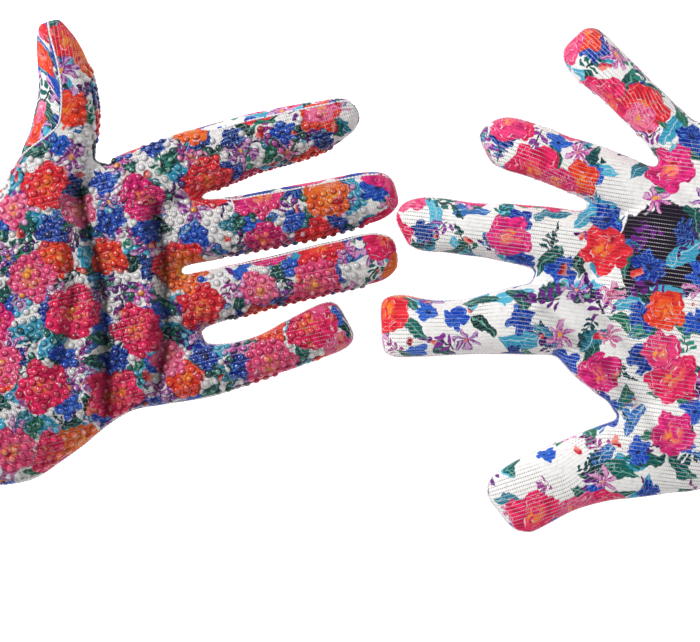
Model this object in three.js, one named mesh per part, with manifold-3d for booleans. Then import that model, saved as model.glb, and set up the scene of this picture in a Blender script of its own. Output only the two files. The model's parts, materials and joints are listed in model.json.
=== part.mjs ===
// A pair of printed-knit gardening gloves with grip dots on the palm side, lying flat on a table.
// The left glove lies palm up and the right glove lies palm down. Millimetres, +Z up.
// Each glove is a hollow shell: a hand and five digits, each cut from a palm panel and a back panel
// that meet at a side seam, with a layer that stands for the printed dots, and a knitted cuff.

import * as THREE from "three";
import { mergeVertices } from "three/addons/utils/BufferGeometryUtils.js";
import Module from "manifold-3d";

const wasm = await Module();
wasm.setup();

// Fabric and coating
const FABRIC = 1.2; // thickness of the knitted fabric
const PIECE_GAP = 0.3; // clearance between two pieces that touch
const DOT_HEIGHT = 0.9; // how far the grip dots stand out of the fabric
const DOT_LAYER = PIECE_GAP + DOT_HEIGHT; // outside of the dots, measured from the fabric
const KNUCKLE_GAP = 0.6; // clearance between a digit and the hand

// Sections
const DIGIT_SIDES = 8;
const HAND_SIDES = 16;
const SECTION_POWER = 2.4; // superellipse exponent: 2 is an ellipse, more is squarer
const SECTION_FLAT = 1.08; // the section is drawn this much too large, then cut flat
const SEAM_HEIGHT = 7.5; // height of the side seam above the underside of the fabric
const DIGIT_HEIGHT = 15; // height of a digit's fabric, underside to top side
const WEB_HEIGHT = 9; // height of the fabric web between two digits
const WEB_SIDES = 14;
const TIP_RISE = 2; // how much the underside rises, and the top side drops, at a fingertip

// Grip dots
const DOTS_ABOVE_SEAM = 4.5; // the dots stop this far short of the side seam
const DOTS_TO_KNUCKLE = 1.5; // and this far short of the knuckle, on either side
const DOTS_TO_TIP = 14; // and this far short of a fingertip
const DOTS_TO_CUFF = 8; // and this far short of the cuff

// Cuff
const CUFF_LENGTH = 56;
const CUFF_RISE = 1.5; // the wrist and cuff stand this far off the table
const CUFF_WAIST = 0.86; // width of the cuff's narrowest part, as a share of the wrist
const CUFF_MOUTH = 0.94; // width at the open end
const WAIST_START = 0.3; // the cuff is at its narrowest from this share of its length
const WAIST_END = 0.5; // to this share
const CUFF_STATIONS = 5;
const HEM_LENGTH = 2.6; // overlocked edge at the open end
const HEM_SWELL = 0.4; // how far the hem stands out of the cuff, inside and outside
const RING_THICKNESS = 0.9; // thickness of the elastic and of the seam ridge
const ELASTIC_WIDTH = 8;
const ELASTIC_INSET = 5; // from the cuff's end to the elastic's edge
const RIDGE_WIDTH = 4; // overlocked ridge inside, where the cuff is sewn to the hand
const LABEL = { length: 16, width: 12, thickness: 0.5, inset: 24 }; // inset: wrist to its middle

const WRIST_CLEARANCE = 2; // the hand's hollow runs this far past its open end
const RING_CLEARANCE = 1; // and the hollow of a ring of the cuff this far past both its ends
const FAR = 400; // length of the blocks that cut a solid; it reaches past the whole part
const MERGE_DISTANCE = 1e-4; // vertices closer than this are one vertex

const LOOKS = {
  palm: { color: 0xc9798f, roughness: 0.85 },
  back: { color: 0xd9b7c4, roughness: 0.9 },
  dots: { color: 0xd98a9c, roughness: 0.3 },
  cuff: { color: 0xece8e6, roughness: 0.95 },
  elastic: { color: 0xf4f2ee, roughness: 0.7 },
  thread: { color: 0xe2447f, roughness: 0.8 },
  label: { color: 0xf7f6f2, roughness: 0.6 },
};

// ---------- solids ----------

function solidOf(geometry) {
  geometry.deleteAttribute("normal");
  geometry.deleteAttribute("uv");
  const merged = mergeVertices(geometry, MERGE_DISTANCE);
  return new wasm.Manifold(
    new wasm.Mesh({
      numProp: 3,
      vertProperties: merged.attributes.position.array,
      triVerts: new Uint32Array(merged.index.array),
    }),
  );
}

function geometryOf(solid) {
  const mesh = solid.getMesh();
  const points = [];
  for (let i = 0; i < mesh.numVert; i += 1) {
    points.push(...mesh.vertProperties.subarray(i * mesh.numProp, i * mesh.numProp + 3));
  }
  const geometry = new THREE.BufferGeometry();
  geometry.setAttribute("position", new THREE.Float32BufferAttribute(points, 3));
  geometry.setIndex([...mesh.triVerts]);
  geometry.computeVertexNormals();
  return geometry;
}

function union(solids) {
  return solids.reduce((all, next) => all.add(next));
}

// One station of a loft: the two edge points in plan, left and right of the way it runs, and its
// lowest and highest points. The section between them is a superellipse cut flat on four sides.
function sectionPoints(station, grow, sides) {
  const left = new THREE.Vector2(...station.left);
  const right = new THREE.Vector2(...station.right);
  const middle = left.clone().add(right).divideScalar(2);
  const across = right.clone().sub(left);
  const halfWidth = across.length() / 2 + grow;
  across.normalize();
  const low = station.low - grow;
  const high = station.high + grow;
  const centre = (low + high) / 2;
  const halfHeight = (high - low) / 2;
  const curve = (v) => Math.sign(v) * Math.abs(v) ** (2 / SECTION_POWER);
  const points = [];
  for (let i = 0; i < sides; i += 1) {
    const angle = ((i + 0.5) / sides) * 2 * Math.PI;
    const wide = SECTION_FLAT * halfWidth * curve(Math.cos(angle));
    const tall = SECTION_FLAT * halfHeight * curve(Math.sin(angle));
    const sideways = THREE.MathUtils.clamp(wide, -halfWidth, halfWidth);
    points.push([
      middle.x + across.x * sideways,
      middle.y + across.y * sideways,
      centre + THREE.MathUtils.clamp(tall, -halfHeight, halfHeight),
    ]);
  }
  return { points, middle: [middle.x, middle.y, centre] };
}

function loft(stations, grow, sides) {
  const rings = stations.map((station) => sectionPoints(station, grow, sides));
  const positions = rings.flatMap((ring) => ring.points.flat());
  const index = [];
  for (let r = 0; r < rings.length - 1; r += 1) {
    for (let k = 0; k < sides; k += 1) {
      const here = r * sides + k;
      const next = r * sides + ((k + 1) % sides);
      index.push(here, here + sides, next);
      index.push(next, here + sides, next + sides);
    }
  }
  const first = positions.length / 3;
  positions.push(...rings[0].middle, ...rings.at(-1).middle);
  const lastRing = (rings.length - 1) * sides;
  for (let k = 0; k < sides; k += 1) {
    const next = (k + 1) % sides;
    index.push(first, k, next);
    index.push(first + 1, lastRing + next, lastRing + k);
  }
  const geometry = new THREE.BufferGeometry();
  geometry.setAttribute("position", new THREE.Float32BufferAttribute(positions, 3));
  geometry.setIndex(index);
  return solidOf(geometry);
}

// The half of space ahead of a vertical plane: point in plan, heading in degrees from +X.
function ahead(point, heading, offset) {
  const box = new THREE.BoxGeometry(FAR, 2 * FAR, 2 * FAR);
  box.translate(FAR / 2 + offset, 0, 0);
  box.rotateZ(THREE.MathUtils.degToRad(heading));
  box.translate(point[0], point[1], 0);
  return solidOf(box);
}

function behind(point, heading, offset) {
  return ahead(point, heading + 180, -offset);
}

function above(height) {
  const box = new THREE.BoxGeometry(2 * FAR, 2 * FAR, FAR);
  box.translate(0, 0, height + FAR / 2);
  return solidOf(box);
}

function below(height) {
  const box = new THREE.BoxGeometry(2 * FAR, 2 * FAR, FAR);
  box.translate(0, 0, height - FAR / 2);
  return solidOf(box);
}

// ---------- digits ----------

// A path is [x, y, width] along the digit, from inside the hand to the tip. The last two points
// are the rounded end.
function digitStations(path, base) {
  return path.map(([x, y, width], i) => {
    const from = path[Math.max(i - 1, 0)];
    const to = path[Math.min(i + 1, path.length - 1)];
    const run = new THREE.Vector2(to[0] - from[0], to[1] - from[1]).normalize();
    const half = width / 2;
    const fromEnd = path.length - 1 - i;
    const rise = fromEnd === 0 ? 2 * TIP_RISE : fromEnd === 1 ? TIP_RISE : 0;
    return {
      left: [x - run.y * half, y + run.x * half],
      right: [x + run.y * half, y - run.x * half],
      low: base + rise,
      high: base + DIGIT_HEIGHT - rise,
    };
  });
}

// Moves a station away from its neighbour, by a distance in plan.
function pushedOut(station, neighbour, distance) {
  const centre = (s) => new THREE.Vector2(s.left[0] + s.right[0], s.left[1] + s.right[1]);
  const step = centre(station).sub(centre(neighbour)).normalize().multiplyScalar(distance);
  return {
    ...station,
    left: [station.left[0] + step.x, station.left[1] + step.y],
    right: [station.right[0] + step.x, station.right[1] + step.y],
  };
}

// The digit's loft with its surface moved outwards by `grow`, ends included.
function grownDigit(digit, base, grow) {
  const stations = digitStations(digit.path, base);
  const first = pushedOut(stations[0], stations[1], grow);
  const last = pushedOut(stations.at(-1), stations.at(-2), grow);
  return loft([first, ...stations.slice(1, -1), last], grow, DIGIT_SIDES);
}

// ---------- one glove ----------

function piece(name, solid, look) {
  const mesh = new THREE.Mesh(geometryOf(solid), new THREE.MeshStandardMaterial(look));
  mesh.name = name;
  return mesh;
}

// The palm side of a seam and its back side, for a glove that lies palm up or palm down.
function seamSides(spec, base) {
  const seam = base + SEAM_HEIGHT;
  const up = (offset) => above(seam + offset);
  const down = (offset) => below(seam - offset);
  return spec.palmUp ? { palm: up, back: down } : { palm: down, back: up };
}

function makeDigit(spec, digit, base) {
  const { knuckle, heading } = digit;
  const side = `${spec.side}_${digit.name}`;
  const { palm, back } = seamSides(spec, base);
  const outside = grownDigit(digit, base, 0);
  const inside = grownDigit(digit, base, -FABRIC);
  const shell = outside.subtract(inside).intersect(ahead(knuckle, heading, KNUCKLE_GAP / 2));

  const tip = digit.path.at(-1);
  const layer = grownDigit(digit, base, DOT_LAYER)
    .subtract(grownDigit(digit, base, PIECE_GAP))
    .intersect(ahead(knuckle, heading, DOTS_TO_KNUCKLE))
    .intersect(behind(tip, digit.tipHeading, -DOTS_TO_TIP))
    .intersect(palm(DOTS_ABOVE_SEAM));

  const group = new THREE.Group();
  group.name = side;
  group.add(
    piece(`${side}_palm_panel`, shell.intersect(palm(PIECE_GAP / 2)), LOOKS.palm),
    piece(`${side}_back_panel`, shell.intersect(back(PIECE_GAP / 2)), LOOKS.back),
    piece(`${side}_grip_dots`, layer, LOOKS.dots),
  );
  return group;
}

// A disc of doubled fabric that fills the fork between two digits.
function webDisc([x, y, radius], base, grow) {
  const height = WEB_HEIGHT + 2 * grow;
  const disc = new THREE.CylinderGeometry(radius + grow, radius + grow, height, WEB_SIDES);
  disc.rotateX(Math.PI / 2);
  disc.translate(x, y, base + SEAM_HEIGHT);
  return solidOf(disc);
}

function handBody(spec, base, grow, knuckleInset) {
  const stations = handStations(spec, base);
  const wrist = pushedOut(stations[0], stations[1], grow < 0 ? WRIST_CLEARANCE : 0);
  const front = pushedOut(stations.at(-1), stations.at(-2), grow);
  const palm = loft([wrist, ...stations.slice(1, -1), front], grow, HAND_SIDES);
  const stubs = spec.digits.map((digit) =>
    grownDigit(digit, base, grow).intersect(behind(digit.knuckle, digit.heading, knuckleInset)),
  );
  return union([palm, ...stubs]);
}

function handOutside(spec, base, grow, knuckleInset) {
  const webs = spec.webs.map((web) => webDisc(web, base, grow));
  return union([handBody(spec, base, grow, knuckleInset), ...webs]);
}

function handStations(spec, base) {
  return spec.hand.map(([left, right, low, high]) => ({
    left,
    right,
    low: base + low,
    high: base + high,
  }));
}

function wristOf(spec) {
  const [left, right] = spec.hand[0];
  return {
    centre: [(left[0] + right[0]) / 2, (left[1] + right[1]) / 2],
    width: Math.hypot(left[0] - right[0], left[1] - right[1]),
    heading: THREE.MathUtils.radToDeg(Math.atan2(right[0] - left[0], left[1] - right[1])),
  };
}

function makeHand(spec, base) {
  const side = `${spec.side}_hand`;
  const wrist = wristOf(spec);
  const { palm, back } = seamSides(spec, base);
  const outside = handOutside(spec, base, 0, -KNUCKLE_GAP / 2);
  const shell = outside.subtract(handBody(spec, base, -FABRIC, FABRIC));

  const layer = handOutside(spec, base, DOT_LAYER, -DOTS_TO_KNUCKLE)
    .subtract(handOutside(spec, base, PIECE_GAP, 0))
    .intersect(ahead(wrist.centre, wrist.heading, DOTS_TO_CUFF))
    .intersect(palm(DOTS_ABOVE_SEAM));

  const group = new THREE.Group();
  group.name = side;
  group.add(
    piece(`${side}_palm_panel`, shell.intersect(palm(PIECE_GAP / 2)), LOOKS.palm),
    piece(`${side}_back_panel`, shell.intersect(back(PIECE_GAP / 2)), LOOKS.back),
    piece(`${side}_grip_dots`, layer, LOOKS.dots),
  );
  return group;
}

// ---------- cuff ----------

// Stations along the cuff from distance `from` to distance `to` behind the wrist.
function cuffStations(spec, base, from, to) {
  const wrist = wristOf(spec);
  const angle = THREE.MathUtils.degToRad(wrist.heading);
  const [, , , high] = spec.hand[0];
  const widthAt = (share) => {
    const narrowing = Math.sin((Math.PI / 2) * Math.min(share / WAIST_START, 1));
    const flare = Math.max(share - WAIST_END, 0) / (1 - WAIST_END);
    const waist = 1 - (1 - CUFF_WAIST) * narrowing;
    return wrist.width * (waist + (CUFF_MOUTH - CUFF_WAIST) * flare);
  };
  const steps = Math.max(1, Math.round(((to - from) / CUFF_LENGTH) * CUFF_STATIONS));
  return Array.from({ length: steps + 1 }, (_, i) => {
    const distance = to + ((from - to) * i) / steps;
    const half = widthAt(THREE.MathUtils.clamp(distance / CUFF_LENGTH, 0, 1)) / 2;
    const x = wrist.centre[0] - distance * Math.cos(angle);
    const y = wrist.centre[1] - distance * Math.sin(angle);
    return {
      left: [x - half * Math.sin(angle), y + half * Math.cos(angle)],
      right: [x + half * Math.sin(angle), y - half * Math.cos(angle)],
      low: base + CUFF_RISE,
      high: base + high,
    };
  });
}

// A tube that follows the cuff's wall, between two distances and two offsets from its outside.
function cuffRing(spec, base, from, to, outer, inner) {
  const outside = loft(cuffStations(spec, base, from, to), outer, HAND_SIDES);
  const longer = cuffStations(spec, base, from - RING_CLEARANCE, to + RING_CLEARANCE);
  const inside = loft(longer, inner, HAND_SIDES);
  return outside.subtract(inside);
}

function makeCuff(spec, base) {
  const side = spec.side;
  const wrist = wristOf(spec);
  const hemStart = CUFF_LENGTH - HEM_LENGTH;
  const cuffEnd = hemStart - PIECE_GAP;
  const elasticStart = cuffEnd - ELASTIC_INSET - ELASTIC_WIDTH;
  const lining = -FABRIC - PIECE_GAP;

  const tag = new THREE.BoxGeometry(LABEL.length, LABEL.width, LABEL.thickness);
  const along = THREE.MathUtils.degToRad(wrist.heading);
  tag.rotateZ(along);
  const labelFloor = base + CUFF_RISE + FABRIC + PIECE_GAP;
  tag.translate(
    wrist.centre[0] - LABEL.inset * Math.cos(along),
    wrist.centre[1] - LABEL.inset * Math.sin(along),
    labelFloor + LABEL.thickness / 2,
  );

  const ring = (...sizes) => cuffRing(spec, base, ...sizes);
  const hem = ring(hemStart, CUFF_LENGTH, HEM_SWELL, -FABRIC - HEM_SWELL);
  const elasticEnd = elasticStart + ELASTIC_WIDTH;
  const elastic = ring(elasticStart, elasticEnd, lining, lining - RING_THICKNESS);
  const ridgeEnd = PIECE_GAP + RIDGE_WIDTH;
  const ridge = ring(PIECE_GAP, ridgeEnd, lining, lining - RING_THICKNESS);
  const group = new THREE.Group();
  group.name = `${side}_cuff_group`;
  group.add(
    piece(`${side}_cuff_rib`, ring(PIECE_GAP, cuffEnd, 0, -FABRIC), LOOKS.cuff),
    piece(`${side}_cuff_hem`, hem, LOOKS.thread),
    piece(`${side}_cuff_elastic`, elastic, LOOKS.elastic),
    piece(`${side}_cuff_seam`, ridge, LOOKS.thread),
    piece(`${side}_size_label`, solidOf(tag), LOOKS.label),
  );
  return group;
}

function makeGlove(spec) {
  // A glove that lies palm down rests on its dots, so its fabric starts above them.
  const base = spec.palmUp ? 0 : DOT_LAYER;
  const glove = new THREE.Group();
  glove.name = `${spec.side}_glove`;
  glove.add(makeHand(spec, base));
  spec.digits.forEach((digit) => glove.add(makeDigit(spec, digit, base)));
  glove.add(makeCuff(spec, base));
  return glove;
}

// ---------- the two gloves ----------

// hand: [left edge, right edge, lowest, highest] from the wrist to the webs.
// digits: knuckle is the hinge's place in plan, heading the way the digit leaves the hand.
const leftGlove = {
  side: "left",
  palmUp: true,
  hand: [
    [[-182.5, 2.7], [-151.5, -66.7], CUFF_RISE, 21],
    [[-163, 27], [-127, -63], 0, 24],
    [[-140, 44], [-109, -51], 0, 23],
    [[-120, 50], [-92, -38.5], 0, 21],
    [[-104, 56], [-78, -32], 0, 18.5],
    [[-88, 62.5], [-68, -29], 0, 16.5],
    [[-71, 64], [-62, -22], 0.5, 14.5],
    [[-66, 50], [-62.5, -8], 3, 12],
  ],
  webs: [[-107, 51, 7], [-68, 46, 8], [-71.5, 20, 7], [-66, -7.5, 8]],
  digits: [
    {
      name: "index",
      knuckle: [-62.5, 61.2],
      heading: 18,
      tipHeading: 21,
      path: [
        [-84, 56, 24], [-60, 62.5, 25], [-38, 70, 21.5], [-19.6, 74.2, 20.3], [-8, 77.8, 17],
        [-1, 80.5, 12], [2, 81.8, 6],
      ],
    },
    {
      name: "middle",
      knuckle: [-55.6, 35.2],
      heading: 12.3,
      tipHeading: 12.3,
      path: [
        [-84, 29, 24], [-60, 34.4, 24.4], [-41, 38, 22.6], [-19.6, 42.2, 21.8], [3.9, 47.6, 19.8],
        [12, 49.6, 17], [16.5, 50.5, 12], [18.2, 51, 7],
      ],
    },
    {
      name: "ring",
      knuckle: [-59.4, 9.5],
      heading: 12.4,
      tipHeading: 12.4,
      path: [
        [-84, 3, 22], [-60, 8.8, 21.4], [-43, 13.1, 19.6], [-27.5, 16.7, 19], [-3.9, 22, 19.2],
        [9, 25.3, 18.5], [15, 26.5, 14], [18.2, 27, 8],
      ],
    },
    {
      name: "little",
      knuckle: [-54.5, -18.4],
      heading: 12,
      tipHeading: 23,
      path: [
        [-84, -24, 21], [-60, -19.8, 21.5], [-43, -16.3, 18.6], [-32, -12.4, 18],
        [-20, -7, 19], [-10, -2.8, 19], [-4, -0.4, 16.5], [-0.6, 1, 12],
      ],
    },
    {
      name: "thumb",
      knuckle: [-114.6, 62.5],
      heading: 100,
      tipHeading: 106,
      path: [
        [-142, 8, 36], [-129, 34, 34], [-118, 55, 29], [-112.6, 72, 26.4], [-110.8, 86, 23],
        [-111.6, 97, 18.6], [-114, 106, 15.5], [-116.6, 113, 11], [-117.6, 117, 6],
      ],
    },
  ],
};

const rightGlove = {
  side: "right",
  palmUp: false,
  hand: [
    [[189, -41], [196, 34], CUFF_RISE, 21],
    [[163, -52], [171, 56], 0, 24],
    [[135, -47], [149, 73], 0, 23],
    [[115, -38], [137, 77], 0, 21],
    [[98, -26], [130, 71], 0, 18.5],
    [[88, -14], [122, 61], 0, 16.5],
    [[84, -2], [115, 54], 2, 13],
  ],
  webs: [[129, 61, 6], [103, 41, 8.5], [82, 16.5, 9], [109, -30, 7]],
  digits: [
    {
      name: "index",
      knuckle: [71, 0.4],
      heading: 180,
      tipHeading: 180,
      path: [
        [100, 2, 31], [84, 1, 29], [70, 0.2, 26.6], [58, -1, 24], [44, -2.4, 21.2],
        [28, -2.3, 22], [20, -2, 23.6], [14.5, -2.2, 19], [12, -2.2, 12],
      ],
    },
    {
      name: "middle",
      knuckle: [72.8, 32.6],
      heading: 173,
      tipHeading: 176,
      path: [
        [108, 27, 27], [92, 29.5, 26], [76, 32.3, 25], [62, 34.4, 22.6], [48, 36, 21],
        [35, 38, 21.2], [27, 38.6, 19.5], [22, 38.2, 15], [20, 37.5, 9],
      ],
    },
    {
      name: "ring",
      knuckle: [98.1, 57],
      heading: 159,
      tipHeading: 165,
      path: [
        [124, 47, 23], [110, 52, 22.6], [97, 57.5, 21.5], [82, 63.2, 20], [68, 68.3, 19.6],
        [60, 70.8, 19.6], [55, 71.4, 15], [51.5, 71, 9],
      ],
    },
    {
      name: "little",
      knuckle: [127.4, 70.8],
      heading: 134,
      tipHeading: 137,
      path: [
        [142, 56, 23], [130, 68, 22.5], [119, 80, 20.5], [104.5, 94.5, 17.8], [93, 105.5, 18.2],
        [88, 109.3, 14], [85.3, 111.5, 9],
      ],
    },
    {
      name: "thumb",
      knuckle: [106.6, -54.7],
      heading: 199,
      tipHeading: 202,
      path: [
        [150, -30, 46], [132, -42, 40], [114, -52, 31], [98, -57.3, 27], [82, -62.5, 26],
        [70, -67, 26.6], [62.5, -69.8, 23], [58, -71.5, 15],
      ],
    },
  ],
};

const gloves = new THREE.Group();
gloves.name = "gardening_gloves";
gloves.add(makeGlove(leftGlove), makeGlove(rightGlove));

// The origin is at the middle of the underside.
const extent = new THREE.Box3().setFromObject(gloves);
const middle = extent.getCenter(new THREE.Vector3());
gloves.position.set(-middle.x, -middle.y, -extent.min.z);

export default gloves;
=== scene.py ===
"""Gardening gloves: two printed-knit gloves with grip dots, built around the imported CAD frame.

The left glove lies palm up and the right glove palm down. Each glove is one smooth skin, made by
voxel-remeshing a set of lofts, shaped with folds, then cut along its seams into the palm and back
pieces of the hand and of each digit. Plans are in millimetres about the middle of the camera's view.
"""

import json
import math
from functools import partialmethod

import bpy
import numpy as np
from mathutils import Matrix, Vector, noise


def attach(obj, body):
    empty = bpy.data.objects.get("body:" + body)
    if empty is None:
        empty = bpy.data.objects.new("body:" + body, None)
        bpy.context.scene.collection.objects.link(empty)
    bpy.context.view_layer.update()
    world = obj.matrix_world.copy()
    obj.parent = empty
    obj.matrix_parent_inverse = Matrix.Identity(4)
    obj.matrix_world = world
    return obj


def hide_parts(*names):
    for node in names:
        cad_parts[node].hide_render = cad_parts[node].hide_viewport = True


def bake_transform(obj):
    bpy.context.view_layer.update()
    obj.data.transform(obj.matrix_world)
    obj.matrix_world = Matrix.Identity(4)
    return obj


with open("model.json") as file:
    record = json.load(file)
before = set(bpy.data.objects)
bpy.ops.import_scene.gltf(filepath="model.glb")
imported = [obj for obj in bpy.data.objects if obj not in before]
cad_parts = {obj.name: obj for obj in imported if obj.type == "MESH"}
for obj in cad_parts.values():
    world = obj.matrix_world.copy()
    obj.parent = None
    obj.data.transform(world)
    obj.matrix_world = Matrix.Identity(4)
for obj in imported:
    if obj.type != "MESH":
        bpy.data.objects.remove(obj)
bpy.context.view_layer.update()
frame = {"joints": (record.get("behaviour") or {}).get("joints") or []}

MM = 0.001

# ---------- driving sizes, in millimetres ----------

VOXEL = 0.95  # size of the remesh
SKIN = 0.8  # thickness of the knitted fabric
SEAM_HEIGHT = 7.5  # height of the side seam above the underside of the fabric
RIGHT_BASE = 1.2  # the palm-down glove stands on its dots
SECTION_POWER = 2.25  # superellipse exponent of every section
SIDES = 44
HAND_STEP = 2.0  # gap between the sections of a hand
DIGIT_STEP = 1.5  # and of a digit
WRIST_LEAD = 6.0  # how far a hand goes on behind its wrist before it is cut there
WEB_HEIGHT = 9.0
WEB_SIDES = 24
WEB_SECTIONS = 12
WEB_END = 0.97  # share of a web's radius at which its ends are closed
SMOOTHING = 8  # rounds of relaxing after the remesh
FOLD_SMOOTHING = 2  # and after the folds

ROLL_RADIUS = 9.0  # how tightly the fabric turns over at a glove's edge
ROLL_LIMIT = 2.4  # and how far it is let out, in radians
BLEND_BEFORE = 1.5  # a digit starts to bend this far behind its knuckle
CLAIM_REACH = 1.35  # a digit claims the skin this near its middle line, in half widths
CLAIM_BEHIND = 6.0  # and no farther behind its knuckle than this
CLAIM_STEP = 1.0  # the step of the middle line that it is measured from
DIGIT_SEAM_SCALE = 10.0  # turns the sine of the angle round a digit into a height over its seam
TURN_LENGTH = 16.0  # a rolled digit takes up its roll over this length
SEAM_LENGTH = 4.0  # and its own side seam over this one
TIP_RIM = 3.2  # how far the palm fabric comes up over the tips of the palm-down glove
TIP_RIM_LENGTH = 7.0
KNIT_TURN = 26.0  # how far beyond the knuckle the knit takes up the digit's own direction

# Across a fold: a bell's place and width, then its share of the fold's height and of its shadow.
FOLD_BELLS = ((-3.2, 3.6, 0.5, 0.0), (1.6, 1.9, -0.8, 0.8), (4.0, 6.0, -0.45, 0.315))
FOLD_FADE = 0.12  # share of a fold's length over which each end dies away
FULL_SHADOW = 4.0  # a fold this deep has the full shadow
FOLD_SLOPE = 0.5  # folds and mounds die away where the skin faces up less than this
HELD_HEIGHT = 0.01  # skin this near the side seam isn't relaxed again after the folds
WRINKLES = ((0.25, 8.0, 3.1), (0.45, 22.0, 8.7))  # height, scale and seed of the small wrinkles

DOT_PITCH = 3.9
DOT_RADIUS = 1.45
DOT_HEIGHT = 1.0
DOT_VARIATION = 0.07  # share of a dot's size
DOT_SEED = 41
DOT_SEAM_MARGIN = 3.4
DOT_WRIST_MARGIN = 9.0
DOT_MAGNIFY = 0.45  # how far the print under a dot is spread by the dot's lens
DOME = ((1.0, -0.12), (0.95, 0.25), (0.84, 0.5), (0.66, 0.73), (0.42, 0.9), (0.18, 0.98))
DOME_SIDES = 14
DOME_EDGE = 0.9  # the dome's edge in the fraction of the third print number
CREASE_SHADOW_STEPS = 100  # and how many steps of the painted crease shadow its whole part counts

STITCH_PITCH = 1.5
STITCH_SWELL = 0.28  # share of a seam's radius
SEAM_RADIUS = 0.36
WRIST_SEAM_RADIUS = 0.6
SEAM_STEP = 0.4
SEAM_SIDES = 6
SEAM_SMOOTHING = 3
SHORTEST_SEAM = 8  # in vertices of the skin; shorter runs are left bare

CUFF_LENGTH = 56.0
CUFF_RISE = 1.5
CUFF_WAIST = 0.86
CUFF_MOUTH = 0.94
WAIST_START = 0.3  # the waist runs between these shares of the cuff's length
WAIST_END = 0.5
CUFF_SINK = 0.1  # the cuff is this much lower than the wrist
CUFF_SINK_LENGTH = 20.0
CUFF_SIDES = 220
CUFF_EVEN_AT = 10.0  # the sides are spaced evenly round the cuff this far behind the wrist
CUFF_STEP = 1.0
CUFF_OVERLAP = 0.6  # how far the ribbing goes into the hand and into the hem
RIB_PITCH = 3.1
RIB_DEPTH = 0.45
RIB_SINK = 0.2
RIB_FADE = 3.0
RIB_ROUNDING = 0.8  # below 1 the grooves are narrower than the ribs
RIB_UNEVEN = 0.075  # share of a rib's height that comes and goes along it
RIB_BEAT = 0.9  # how fast it does, in radians per mm
RIB_DRIFT = (6, 30)  # and how far, and how often, that shifts round the cuff
HEM_LENGTH = 2.6
HEM_RADIUS = 1.25
HEM_SIDES = 10
HEM_STEP = 0.8
HEM_SQUASH = 0.8
HEM_LOOPS = 2.4  # pitch of the overlock loops
LOOP_SWELL = 0.14  # share of the hem's radius
ELASTIC_INSET = 5.0
ELASTIC_WIDTH = 8.0
ELASTIC_PINCH = 0.5  # how far the elastic draws the ribbing in
PINCH_WIDTH = 2.6
RIDGE_START = 0.6
RIDGE_WIDTH = 4.0
BAND_THICKNESS = 0.9
BAND_STEP = 0.4
BAND_WEAVE = 0.12  # height and pitch of a band's ridges
BAND_WEAVE_PITCH = 1.3
LINING_GAP = 0.3
LINING_ROOM = 0.5  # what the ribs take of the inside
LABEL_SIZE = (16.0, 12.0, 0.5)
LABEL_INSET = 24.0
LABEL_GRID = (17, 13)
LABEL_CURL = (0.5, 0.7)  # how far its ends and its free side lift

# ---------- the two gloves ----------

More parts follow.
